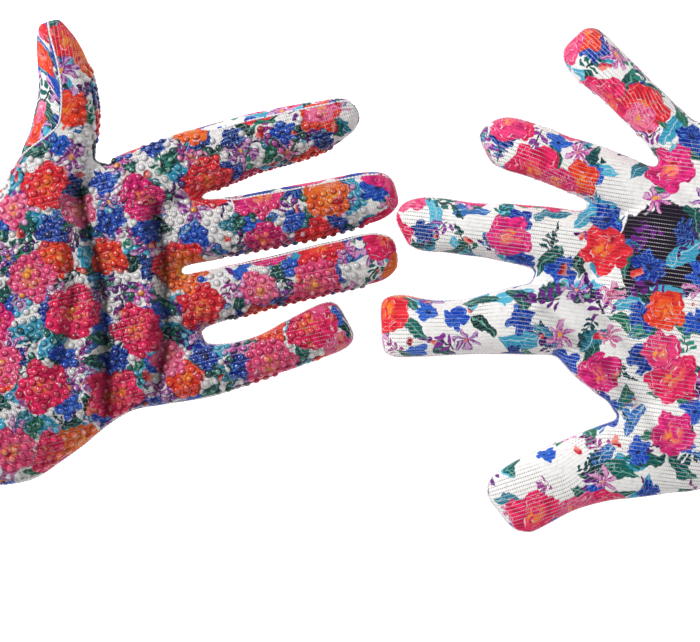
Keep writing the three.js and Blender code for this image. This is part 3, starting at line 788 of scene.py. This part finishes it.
def even_angles(spec, wrist, sides):
    """Angles that step evenly round the section, and the length once round it."""
    fine = np.linspace(0, 2 * np.pi, 2001)
    far = lengths(cuff_point(spec, wrist, np.full(len(fine), CUFF_EVEN_AT), fine))
    return np.interp(np.arange(sides) / sides * far[-1], far, fine), far[-1]


def ring_normals(grid):
    """Outward normals of a grid of rings."""
    around = np.roll(grid, -1, axis=1) - np.roll(grid, 1, axis=1)
    n = unit(np.cross(around, np.gradient(grid, axis=0)))
    middle = grid.mean(axis=1, keepdims=True)
    return n * np.sign(((grid - middle) * n).sum(axis=(1, 2)))[:, None, None]


def band(spec, wrist, start, end, step, insets, angles, lift):
    """A closed band of the cuff between two insets, with its surface lifted by `lift`, and each
    vertex's turn round it (0 to 1) and share of its length."""
    rings, sides = max(2, int(round((end - start) / step)) + 1), len(angles)
    turn = np.arange(sides) / sides
    d, a = np.meshgrid(np.linspace(start, end, rings), angles, indexing="ij")
    walls = []
    for inset in insets:
        grid = cuff_point(spec, wrist, d, a, inset)
        walls.append((grid + ring_normals(grid) * lift(d, turn)[..., None]).reshape(-1, 3))
    m, last = rings * sides, (rings - 1) * sides
    faces = between(rings, sides)
    faces += [tuple(i + m for i in quad) for quad in between(rings, sides, inward=True)]
    for k in range(sides):
        n = (k + 1) % sides
        faces += [(k, k + m, n + m, n), (last + k, last + n, last + n + m, last + k + m)]
    shares = np.repeat(np.linspace(0, 1, rings), sides)
    return (np.vstack(walls), faces), np.tile(turn, rings * 2), np.tile(shares, 2)


def hem_roll(spec, wrist, perimeter):
    """The overlocked hem: a thick roll with loops of thread over it."""
    turns = np.arange(HEM_SIDES) / HEM_SIDES * 2 * np.pi
    steps = 3 * round(perimeter / HEM_STEP)
    angles, _ = even_angles(spec, wrist, steps)
    distance = np.full(steps, CUFF_LENGTH - HEM_RADIUS)
    edge = cuff_point(spec, wrist, distance, angles, SKIN / 2)
    out = unit(cuff_point(spec, wrist, distance, angles, -1.0) - edge)
    back = np.r_[-wrist["along"], 0.0]
    phase = np.arange(steps) / steps * 2 * np.pi * round(perimeter / HEM_LOOPS * 2)
    swell = HEM_RADIUS * (1 - LOOP_SWELL + LOOP_SWELL * np.cos(phase[:, None] + turns[None]))
    c, s = np.cos(turns)[None, :, None], np.sin(turns)[None, :, None]
    roll = edge[:, None] + swell[..., None] * (c * back + s * HEM_SQUASH * out[:, None])
    faces = [tuple(i % (steps * HEM_SIDES) for i in quad) for quad in between(steps + 1, HEM_SIDES)]
    return roll.reshape(-1, 3), faces


def build_cuff(spec, wrist, looks):
    angles, perimeter = even_angles(spec, wrist, CUFF_SIDES)
    ribs = round(perimeter / RIB_PITCH)
    hem_start = CUFF_LENGTH - HEM_LENGTH
    elastic_at = hem_start - ELASTIC_INSET - ELASTIC_WIDTH / 2

    def rib(distance, turn):
        ridge = np.abs(np.cos(np.pi * ribs * turn)) ** RIB_ROUNDING
        shift = RIB_DRIFT[0] * np.sin(turn * RIB_DRIFT[1])
        uneven = 1 - RIB_UNEVEN + RIB_UNEVEN * np.cos(distance * RIB_BEAT + shift)
        pinch = ELASTIC_PINCH * np.exp(-(((distance - elastic_at) / PINCH_WIDTH) ** 2))
        return (ridge - 0.5) * RIB_DEPTH * 2 * uneven * smooth(distance / RIB_FADE) - pinch - RIB_SINK

    def woven(distance, turn):
        return BAND_WEAVE * np.cos(distance * 2 * np.pi / BAND_WEAVE_PITCH)

    body, turn, share = band(spec, wrist, -CUFF_OVERLAP, hem_start + CUFF_OVERLAP, CUFF_STEP,
                             (0.0, SKIN), angles, rib)
    add(spec, "hand", "cuff_ribbing", body, "cuff_rib", looks["cuff"], "cuff_rib",
        knit=level(np.c_[turn * ribs, share * hem_start]))
    add(spec, "hand", "cuff_overlock_hem", hem_roll(spec, wrist, perimeter), "overlock_thread",
        looks["overlock"], "cuff_hem")

    lining = SKIN + LINING_GAP + LINING_ROOM
    for name, start, width, slot, look in (
        ("elastic", elastic_at - ELASTIC_WIDTH / 2, ELASTIC_WIDTH, "elastic", looks["elastic"]),
        ("seam", RIDGE_START, RIDGE_WIDTH, "overlock_thread", looks["overlock"]),
    ):
        body, turn, share = band(spec, wrist, start, start + width, BAND_STEP,
                                 (lining, lining + BAND_THICKNESS), angles[::2], woven)
        add(spec, "hand", f"cuff_{name}_band", body, slot, look, f"cuff_{name}",
            knit=level(np.c_[turn * perimeter, share * width]))


def build_label(spec, wrist, looks):
    """A woven tab, slightly curled, on the cuff's lining."""
    length, width, thickness = LABEL_SIZE
    cols, rows = LABEL_GRID
    u, v = np.meshgrid(np.linspace(-0.5, 0.5, cols), np.linspace(-0.5, 0.5, rows), indexing="ij")
    middle = wrist["centre"] - LABEL_INSET * wrist["along"]
    plan = middle + (u * length)[..., None] * wrist["along"] + (v * width)[..., None] * wrist["right"]
    z = spec["base"] + CUFF_RISE + SKIN + LINING_GAP + RIB_DEPTH + thickness
    z = z + LABEL_CURL[0] * u**2 + LABEL_CURL[1] * np.maximum(v, 0) ** 2
    top = np.concatenate([plan, z[..., None]], axis=-1).reshape(-1, 3)
    corner = (np.arange(cols - 1)[:, None] * rows + np.arange(rows - 1)).reshape(-1, 1)
    up = np.tile([0.0, 0.0, 1.0], (len(top), 1))
    body, _, carried = shell(top, corner + np.array([0, 1, rows + 1, rows]), up, thickness,
                             knit=level(np.c_[(u * length).ravel(), (v * width).ravel()]))
    add(spec, "hand", "woven_size_label", body, "label", looks["label"], "size_label", **carried)


# ---------- materials ----------

PAPER_WHITE = "F7F5F3"
YARN_WHITE = "E9E4E4"
HOLE_SHADE = "2F2A33"
# colour of the painted shadow in the palm's creases
CREASE_SHADOW_COLOUR = "1A141C"
GEL_ON_WHITE = "BDB6BF"  # a clear dot over bare cloth
GEL_TINT = "C9D0D8"  # and the tint of every dot
BOUQUET_GROUND = "1D1626"
BOUQUET = (122.0, 26.0, 19.0)  # the dark patch behind the right back's flowers: x, y, radius
BOUQUET_EDGE = (7.0, 5.6)  # beyond that radius, where the patch ends and where it is full
BOUQUET_ROUGHNESS = 12.0
LAYER_SHIFT = (37.3, 91.7)  # how far each layer of the print is moved, per layer number
MOTIF_SCALE = (0.45, 0.8)  # spread and least of the motifs' scale
SOFT = 0.22  # softness of a printed edge, in millimetres
WANDER = 7.0  # how far the outlines wander
KNIT_WALE = 1.55  # width of a column of stitches
KNIT_COURSE = 0.9  # height of a stitch


def colour(text):
    """A scene colour from an sRGB hex code."""
    parts = [int(text[k:k + 2], 16) / 255 for k in (0, 2, 4)]
    return tuple(((p + 0.055) / 1.055) ** 2.4 if p > 0.04045 else p / 12.92 for p in parts) + (1.0,)


class Value:
    """A value that nodes work out. Arithmetic on it adds the maths nodes."""

    def __init__(self, graph, socket):
        self.graph, self.socket = graph, socket

    def __add__(self, other):
        return self.graph.math("ADD", self, other)

    def __sub__(self, other):
        return self.graph.math("SUBTRACT", self, other)

    def __rsub__(self, other):
        return self.graph.math("SUBTRACT", other, self)

    def __mul__(self, other):
        return self.graph.math("MULTIPLY", self, other)

    def __truediv__(self, other):
        return self.graph.math("DIVIDE", self, other)

    def __abs__(self):
        return self.graph.math("ABSOLUTE", self)


class Graph:
    """A thin wrapper that adds nodes to a tree and returns their values."""

    def __init__(self, tree):
        self.tree = tree
        self.tree.nodes.clear()

    def add(self, kind, **settings):
        node = self.tree.nodes.new(kind)
        for key, value in settings.items():
            setattr(node, key, value)
        return node

    def feed(self, socket, value):
        if isinstance(value, Value):
            self.tree.links.new(value.socket, socket)
        elif value is not None:
            socket.default_value = value

    def out(self, node, output=0):
        return Value(self, node.outputs[output])

    def fed(self, node, *values, output=0):
        """An output of the node, once its first inputs are fed."""
        for socket, value in zip(node.inputs, values):
            self.feed(socket, value)
        return self.out(node, output)

    def math(self, operation, *values, clamp=False):
        return self.fed(self.add("ShaderNodeMath", operation=operation, use_clamp=clamp), *values)

    most = partialmethod(math, "MAXIMUM")
    power = partialmethod(math, "POWER")
    sine = partialmethod(math, "SINE")
    floor = partialmethod(math, "FLOOR")
    fract = partialmethod(math, "FRACT")

    def wave(self, value):
        """How far a value is from the middle of its unit step: 0 to 0.5."""
        return abs(self.fract(value) - 0.5)

    def vector(self, operation, *values, output=0):
        node = self.add("ShaderNodeVectorMath", operation=operation)
        return self.fed(node, *values, output=output)

    def scaled(self, vector, by):
        return self.vector("SCALE", vector, None, None, by)

    def length(self, vector):
        return self.vector("LENGTH", vector, output="Value")

    def parts(self, vector):
        node = self.add("ShaderNodeSeparateXYZ")
        self.feed(node.inputs[0], vector)
        return [self.out(node, k) for k in range(3)]

    def whole(self, x, y, z=0.0):
        return self.fed(self.add("ShaderNodeCombineXYZ"), x, y, z)

    def attribute(self, name):
        return self.out(self.add("ShaderNodeAttribute", attribute_name=name), "Vector")

    def mix(self, share, a, b, blend="MIX"):
        node = self.add("ShaderNodeMix", data_type="RGBA", blend_type=blend)
        self.feed(node.inputs["Factor"], share)
        self.feed(node.inputs[6], a)
        self.feed(node.inputs[7], b)
        return self.out(node, 2)

    def ink(self, share, codes):
        """One of the listed colours, picked by the share."""
        codes = codes.split()
        if len(codes) == 1:
            return colour(codes[0])
        node = self.add("ShaderNodeValToRGB")
        ramp = node.color_ramp
        ramp.interpolation = "CONSTANT"
        while len(ramp.elements) < len(codes):
            ramp.elements.new(0.5)
        for k, code in enumerate(codes):
            ramp.elements[k].position = k / len(codes)
            ramp.elements[k].color = colour(code)
        return self.fed(node, share)

    def noise(self, vector, scale, detail=1.0, output="Fac"):
        node = self.add("ShaderNodeTexNoise", noise_dimensions="2D")
        self.feed(node.inputs["Vector"], vector)
        node.inputs["Scale"].default_value = scale
        node.inputs["Detail"].default_value = detail
        return self.out(node, output)

    def rise(self, value, low, high):
        """0 below low, 1 above high, smooth between them."""
        node = self.add("ShaderNodeMapRange", interpolation_type="SMOOTHSTEP")
        return self.fed(node, value, low, high)

    def cells(self, vector, cell, layer, loose):
        """Scattered places about `cell` mm apart: the point in mm from its nearest place, and three
        random numbers of that place."""
        node = self.add("ShaderNodeTexVoronoi", voronoi_dimensions="2D", feature="F1")
        moved = self.vector("ADD", vector, (layer * LAYER_SHIFT[0], layer * LAYER_SHIFT[1], 0.0))
        self.feed(node.inputs["Vector"], moved)
        node.inputs["Scale"].default_value = 1 / cell
        node.inputs["Randomness"].default_value = loose
        away = self.vector("SUBTRACT", moved, self.out(node, "Position"))
        return away, self.parts(self.out(node, "Color"))

    def spun(self, vector, angle):
        node = self.add("ShaderNodeVectorRotate", rotation_type="Z_AXIS")
        return self.fed(node, vector, None, None, angle)

    def polar(self, at):
        x, y, _ = self.parts(at)
        return self.length(at), self.math("ARCTAN2", y, x)

    def lobes(self, turn):
        return abs(self.math("COSINE", turn))


# Each motif takes a place in mm from its middle, its sizes and its inks, and gives a mask and a colour.
# The numbers inside are shares of those sizes, and where strokes, veins and lips begin and end.

def leaf(g, at, length, width, flesh, rib):
    """A pointed leaf along x, with a pale midrib and veins."""
    x, y, _ = g.parts(at)
    along = x / length
    across = abs(y - along * along * (length * 0.18))
    mask = g.rise((1.0 - along * along) * width - across, -SOFT, SOFT)
    veins = g.sine((x - across * 1.1) * 3.6)
    pale = g.most(g.rise(across, 0.32, 0.10), g.rise(veins, 0.75, 1.0) * 0.45)
    return mask, g.mix(pale * 0.8, flesh, rib)


def spray(g, at, length, leaflet, flesh, stalk):
    """A stalk along x with leaflets on both sides, smaller towards its tip."""
    x, y, _ = g.parts(at)
    across = abs(y)
    place = across / ((1.15 - g.rise(x, -length, length)) * leaflet)
    cell = g.fract((x - across * 0.75) / (leaflet * 0.9)) - 0.5
    leaflets = g.rise(place * (1.0 - place) * 4.0 * 0.34 - abs(cell), -0.06, 0.06)
    stem = g.rise(across, 0.42, 0.22)
    inside = g.rise(length - abs(x), 0.0, 0.5)
    return g.most(leaflets, stem) * inside, g.mix(stem, flesh, stalk)


def petalled(g, far, lobe, radius, cut):
    """The mask of petals that are cut in by a share of the radius."""
    return g.rise(lobe * (radius * cut) + radius * (1 - cut) - far, -SOFT, SOFT)


def flower(g, at, radius, petals, deep, light, heart):
    """An open flower: petals with light scribbles and a dark-ringed heart."""
    far, turn = g.polar(at)
    mask = petalled(g, far, g.lobes(turn * (petals / 2)), radius, 0.34)
    strokes = g.noise(g.whole(turn * 2.2, far * 0.28), 2.6, 2.0)
    inner = g.mix(g.rise(strokes, 0.52, 0.62) * 0.75, deep, light)
    return mask, g.mix(g.rise(far, radius * 0.24, radius * 0.16), inner, heart)


def rose(g, at, radius, deep, bright, pale, heart):
    """A full rose: a scalloped outline and overlapping petals, some with pale lips."""
    far, turn = g.polar(at)
    wobble = g.noise(at, 0.22)
    mask = petalled(g, far, g.lobes(turn * 2.5 + wobble), radius, 0.22)
    ring = wobble * 2.6 + far / (radius * 0.3)
    petal = g.fract(ring + g.sine(ring * 1.7 + turn * 2.0) * 0.33)
    wash = g.noise(at, 0.35, 2.0)
    shade = g.mix(g.rise(petal, 0.0, 0.5) * g.rise(wash, 0.2, 0.5), deep, bright)
    lip = g.rise(petal, 0.78, 0.93) * g.rise(g.noise(at, 0.5), 0.48, 0.58)
    centre = g.rise(far, radius * 0.5, radius * 0.1) * g.rise(wash, 0.42, 0.6)
    return mask, g.mix(centre, g.mix(lip, shade, pale), heart)


def lily(g, at, radius, deep, light, heart):
    """Six narrow pointed petals with pale midribs."""
    far, turn = g.polar(at)
    lobe = g.lobes(turn * 3.0)
    midrib = g.rise(lobe, 0.93, 0.99) * g.rise(far, radius * 0.2, radius * 0.5)
    streak = g.rise(g.noise(at, 1.1, 2.0), 0.5, 0.62)
    shade = g.mix(g.most(midrib, streak) * 0.7, deep, light)
    shade = g.mix(g.rise(far, radius * 0.22, radius * 0.1), shade, heart)
    return petalled(g, far, g.power(lobe, 1.6), radius, 0.78), shade


def bud(g, at, radius, deep, light):
    """A round bud, lighter on one side."""
    shade = g.mix(g.rise(g.parts(at)[0], -0.4, 0.8), deep, light)
    return g.rise(g.length(at), radius + SOFT, radius - SOFT), shade


# The print, from the bottom layer up: spacing in mm, layer number, looseness, share left out, motif,
# its sizes, and its inks, each a list of colours to pick from.
PRINT = (
    (16.0, 1, 0.55, 0.15, leaf, (8.5, 3.3), ("2A9CC0 45B4D4 14768F 2463B4", "BFE6EE")),
    (13.5, 2, 0.6, 0.2, leaf, (7.2, 2.5), ("0A4B4A 0A5C58 0A2C2E 166650", "7CC0AC")),
    (20.0, 3, 0.5, 0.2, spray, (8.2, 4.4), ("6A2180 8B3398 4C1A6C A63C92", "32104A")),
    (17.0, 4, 0.55, 0.35, spray, (7.0, 3.4), ("14665C 2A8C78 0B4852 2F7DBC", "0A3C42")),
    (18.0, 8, 0.55, 0.35, lily, (6.2,), ("8E2C93 B93A9A 6B2590 C8407F", "EFC4E4", "F3A93A")),
    (17.5, 5, 0.5, 0.2, flower, (5.4, 5.0), ("0B2E96 1142B4 0A2070 1656C4", "5A90E0", "17265F")),
    (26.0, 6, 0.5, 0.1, rose, (9.6,),
     ("C00F46 CC1830 B80F60 D42420", "F62A6C F5303E F02A86 F84A26", "FBC6D0", "F58A24")),
    (31.0, 7, 0.45, 0.3, rose, (8.8,),
     ("D42C68 DC4A24 C02062 DC3676", "F4588E F6742A F23E7E F87AA4", "FDDCE2", "F7A42A")),
    (13.5, 9, 0.7, 0.5, bud, (1.6,), ("B80F2A CE2244 9A1233 DE3836", "F58A7C")),
)


def floral_group(name, dark_patch, bare):
    """The printed pattern as a node group: cloth position in, colour out. `bare` leaves out more of
    the motifs, so that more of the white ground shows."""
    tree = bpy.data.node_groups.new(name, "ShaderNodeTree")
    tree.interface.new_socket("Vector", in_out="INPUT", socket_type="NodeSocketVector")
    tree.interface.new_socket("Color", in_out="OUTPUT", socket_type="NodeSocketColor")
    g = Graph(tree)
    cloth = g.out(g.add("NodeGroupInput"))
    drift = g.vector("SUBTRACT", g.noise(cloth, 0.13, 3.0, "Color"), (0.5, 0.5, 0.5))
    cloth = g.vector("ADD", cloth, g.scaled(drift, WANDER))
    look = colour(PAPER_WHITE)
    if dark_patch is not None:
        x, y, radius = dark_patch
        far = g.length(g.vector("SUBTRACT", cloth, (x, y, 0.0)))
        rough = g.noise(cloth, 0.16, 2.0) * BOUQUET_ROUGHNESS + far
        patch = g.rise(rough, *(radius + edge for edge in BOUQUET_EDGE))
        look = g.mix(patch, look, colour(BOUQUET_GROUND))
    for cell, layer, loose, left_out, motif, sizes, inks in PRINT:
        at, (spin, chance, choice) = g.cells(cloth, cell, layer, loose)
        spread, least = MOTIF_SCALE
        at = g.scaled(g.spun(at, spin * (2 * math.pi)), choice * spread + least)
        mask, shade = motif(g, at, *sizes, *(g.ink(choice, codes) for codes in inks))
        shown = g.rise(chance, left_out + bare, left_out + bare + 0.01)
        look = g.mix(mask * shown, look, shade)
    g.feed(g.add("NodeGroupOutput").inputs[0], look)
    return tree


class Surface(Graph):
    """A material's graph, round its one surface shader."""

    def __init__(self, name):
        self.material = bpy.data.materials.new(name)
        self.material.use_nodes = True
        super().__init__(self.material.node_tree)
        self.shader = self.add("ShaderNodeBsdfPrincipled")
        self.feed(self.add("ShaderNodeOutputMaterial").inputs["Surface"], self.out(self.shader))

    def dress(self, look, relief=None, strength=0.0, depth=0.0, **settings):
        """Feeds the shader its colour, its plain settings and a bump from the relief, `depth` mm
        deep, and returns the material."""
        for key, value in {"Base_Color": look, **settings}.items():
            self.feed(self.shader.inputs[key.replace("_", " ")], value)
        if relief is not None:
            bump = self.add("ShaderNodeBump")
            bump.inputs["Strength"].default_value = strength
            bump.inputs["Distance"].default_value = depth * MM
            self.feed(bump.inputs["Height"], relief)
            self.feed(self.shader.inputs["Normal"], self.out(bump))
        return self.material


def printed_at(g, floral, x, y, shift, depth):
    """The print's colour at a place on the cloth, unevenly inked. `depth` is the tone of its deepest
    patches: random uneven inking, set lower on the left glove's palm and dots as painted shade.
    The second result is how bare of ink the cloth is there (0 to 1)."""
    at = g.whole(x + shift, y + shift * 0.7)
    group = g.add("ShaderNodeGroup")
    group.node_tree = floral
    printed = g.fed(group, at)
    tone = g.math("MULTIPLY_ADD", g.noise(at, 0.55, 3.0), 0.5, depth, clamp=True)
    grey = g.fed(g.add("ShaderNodeRGBToBW"), printed)
    look = g.mix(1.0, printed, g.whole(tone, tone, tone), "MULTIPLY")
    return look, g.rise(grey, 0.3, 0.75)


def with_crease_shadow(g, look, crease_shadow):
    """The colour with painted shadow in the palm's creases."""
    return g.mix(crease_shadow * 0.66, look, g.mix(0.85, look, colour(CREASE_SHADOW_COLOUR)))


def knit_stitches(g, knit):
    """The knit's relief, the thin gap between wales, the dashes of white yarn in that gap and the
    open holes beside them, each from 0 to 1. The limits inside are places across a wale or along a
    stitch, from its middle (0) to its edge (0.5)."""
    x, y, _ = g.parts(knit)
    wale = g.wave(y / KNIT_WALE)
    loop = g.wave(wale * 1.1 + x / KNIT_COURSE)
    gap = g.rise(wale, 0.36, 0.48)
    relief = (1.0 - gap) * g.rise(loop, 0.5, 0.1)
    dash = gap * g.rise(loop, 0.36, 0.22)
    return relief, gap, dash, g.rise(wale, 0.33, 0.45) * g.rise(loop, 0.24, 0.36)


def fabric(name, floral, shift, faded, open_knit, depth):
    """Printed knit. `faded` is how much white yarn shows between the wales, `open_knit` how much
    of the cloth is stretched open and `depth` the tone of its deepest patches, set lower on the left
    palm as painted shade."""
    g = Surface(name)
    cloth = g.attribute("cloth")
    x, y, crease_shadow = g.parts(cloth)
    printed, bare = printed_at(g, floral, x, y, shift, depth)
    relief, gap, dash, hole = knit_stitches(g, g.attribute("knit"))
    stretch = g.rise(g.noise(cloth, 0.05), 0.44, 0.6)
    thin = (gap * 0.35 + dash * 0.65) * (stretch * (faded * 0.85) + faded * 0.15)
    shadow = hole * (stretch * open_knit + open_knit * 0.35) * (bare * 0.7 + 0.3)
    look = g.mix(shadow, g.mix(thin, printed, colour(YARN_WHITE)), colour(HOLE_SHADE))
    # painted shadow in the palm's creases
    return g.dress(with_crease_shadow(g, look, crease_shadow), relief, 0.6, 0.25, Roughness=0.82,
                   Sheen_Weight=0.05, Sheen_Roughness=0.5, Specular_IOR_Level=0.12)


def dot_material(name, floral, shift, depth):
    """Clear grip dots: the print shows through, with painted shade deeper towards the rim, under a
    wet-looking coat.
    """
    g = Surface(name)
    on_dot = g.attribute("print")
    x, y, third = g.parts(on_dot)
    printed, bare = printed_at(g, floral, x, y, shift, depth)
    gel = g.mix(bare * 0.36, printed, colour(GEL_ON_WHITE), "MULTIPLY")
    gel = g.mix(0.02, gel, colour(GEL_TINT))
    # painted shade: the dot's colour deepens towards its rim
    rim = g.mix(0.8, gel, gel, "MULTIPLY")
    look = g.mix(g.rise(g.fract(third), 0.35, 0.85), gel, rim)
    # painted shadow in the palm's creases, on the dots too
    look = with_crease_shadow(g, look, g.floor(third) * (1 / CREASE_SHADOW_STEPS))
    return g.dress(look, g.noise(on_dot, 2.0, 2.0), 0.15, 0.2, Roughness=0.4,
                   Specular_IOR_Level=0.1, Coat_Weight=1.0, Coat_IOR=1.5, Coat_Roughness=0.16)


def thread_material(name, low, high, pitch):
    """Thread: bands of light and shade across the strands, with a little fuzz."""
    g = Surface(name)
    wave = g.add("ShaderNodeTexWave", wave_type="BANDS", bands_direction="DIAGONAL")
    g.feed(wave.inputs["Vector"], g.out(g.add("ShaderNodeTexCoord"), "Object"))
    wave.inputs["Scale"].default_value = 0.314 / (pitch * MM)
    wave.inputs["Distortion"].default_value = 1.5
    strand = g.out(wave, "Fac")
    look = g.mix(strand, colour(low), colour(high))
    return g.dress(look, strand, 0.5, 0.15, Roughness=0.7, Sheen_Weight=0.3)


def rib_material(name):
    """Off-white ribbing: knit loops down each rib, with painted shade in the grooves and between the loops.
    """
    g = Surface(name)
    x, y, _ = g.parts(g.attribute("knit"))
    rib = g.wave(x)
    loop = g.wave(rib * 1.6 + y / KNIT_COURSE)
    # painted shade: darker in the grooves between the ribs
    tone = g.mix(g.rise(rib, 0.12, 0.45), colour("C9C2BC"), colour("F3F0EC"))
    # painted shade between the knit loops
    look = g.mix(g.rise(loop, 0.3, 0.5) * 0.35, tone, colour("B7AFA8"))
    return g.dress(look, 1.0 - loop, 0.7, 0.3, Roughness=0.88, Sheen_Weight=0.3)


def woven_material(name, ground, thread, pitch):
    """A woven band or tab: over and under threads in two directions."""
    g = Surface(name)
    x, y, _ = g.parts(g.attribute("knit"))
    warp, weft = (g.sine(way * (2 * math.pi / pitch)) for way in (x, y))
    weave = warp * weft * 0.5 + 0.5
    look = g.mix(weave, colour(ground), colour(thread))
    return g.dress(look, weave, 0.5, 0.15, Roughness=0.6, Sheen_Weight=0.2)


def make_looks():
    plain = floral_group("floral_print", None, -0.12)
    bouquet = floral_group("floral_print_with_dark_bouquet", BOUQUET, 0.17)
    return {
        # painted shade: the left palm's lower depth prints it darker than the same cloth elsewhere
        "left_palm": fabric("left_palm_knit", plain, 0.0, 0.4, 0.85, 0.5),
        "left_back": fabric("left_back_knit", plain, 260.0, 0.35, 0.4, 0.66),
        "right_palm": fabric("right_palm_knit", plain, 530.0, 0.4, 0.5, 0.66),
        "right_back": fabric("right_back_knit", bouquet, 0.0, 0.75, 0.8, 0.74),
        # painted shade: the left dots' lower depth prints them darker than the right dots
        "left_dots": dot_material("left_clear_dots", plain, 0.0, 0.52),
        "right_dots": dot_material("right_clear_dots", plain, 530.0, 0.66),
        "seam_thread": thread_material("seam_thread", "C4BBC0", "F3F0F1", 0.8),
        "overlock": thread_material("pink_overlock_thread", "C01C5E", "F0508C", 0.9),
        "cuff": rib_material("ribbed_cuff_knit"),
        "elastic": woven_material("woven_elastic", "D8D5D0", "F4F2EE", 1.1),
        "label": woven_material("woven_label", "E7E5E2", "F8F7F5", 0.5),
    }


# ---------- floor, light and camera, in metres ----------

VIEW_CENTRE = tuple(ORIGIN * MM)
VIEW_WIDTH = 0.2745  # what the camera sees across, at the gloves
CAMERA_HEIGHT = 1.0
MIDDLE_HEIGHT = 0.010
SENSOR = 36.0
FLOOR_SIZE = 60.0
FLOOR_DEPTH = 0.095
FLOOR_TONE = 0.93
FLOOR_GLOW = 0.7
SKY_LIGHT = 0.3  # strength of the room's light
SKY_SEEN = 0.97  # and how bright the room looks behind the floor
LIGHTS = (  # name, place, diameter, power in watts
    ("key", (-1.15, 0.7, 1.05), 0.7, 27.0),
    ("fill", (1.2, 0.4, 1.3), 1.0, 7.0),
    ("front", (0.1, -1.3, 1.2), 1.0, 2.5),
)


def build_floor():
    bpy.ops.mesh.primitive_plane_add(size=FLOOR_SIZE, location=(*VIEW_CENTRE, -FLOOR_DEPTH))
    floor = bpy.context.object
    floor.name = "pale_floor"
    pale = Surface("pale_floor").dress(
        (FLOOR_TONE, FLOOR_TONE, FLOOR_TONE, 1), Emission_Color=(1, 1, 1, 1),
        Emission_Strength=FLOOR_GLOW, Roughness=0.9, Specular_IOR_Level=0.0)
    floor.data.materials.append(pale)


def build_lights(scene):
    for name, at, size, power_w in LIGHTS:
        data = bpy.data.lights.new(name, "AREA")
        data.shape = "DISK"
        data.size = size
        data.energy = power_w
        light = bpy.data.objects.new(name, data)
        light.location = at
        light.rotation_euler = (-Vector(at)).to_track_quat("-Z", "Y").to_euler()
        scene.collection.objects.link(light)
    scene.world = bpy.data.worlds.new("soft_room")
    scene.world.use_nodes = True
    tree = scene.world.node_tree
    sky = tree.nodes["Background"]
    sky.inputs["Color"].default_value = (1, 1, 1, 1)
    path = tree.nodes.new("ShaderNodeLightPath")
    strength = tree.nodes.new("ShaderNodeMapRange")
    strength.inputs["To Min"].default_value = SKY_LIGHT
    strength.inputs["To Max"].default_value = SKY_SEEN
    tree.links.new(path.outputs["Is Camera Ray"], strength.inputs["Value"])
    tree.links.new(strength.outputs[0], sky.inputs["Strength"])
    scene.view_settings.view_transform = "Standard"


def build_camera(scene):
    data = bpy.data.cameras.new("camera")
    data.sensor_width = SENSOR
    data.lens = SENSOR * CAMERA_HEIGHT / VIEW_WIDTH
    camera = bpy.data.objects.new("camera", data)
    camera.location = (*VIEW_CENTRE, CAMERA_HEIGHT + MIDDLE_HEIGHT)
    scene.collection.objects.link(camera)
    scene.camera = camera


looks = make_looks()
for glove in (LEFT, RIGHT):
    build_glove(glove, looks)
build_floor()
build_lights(bpy.context.scene)
build_camera(bpy.context.scene)
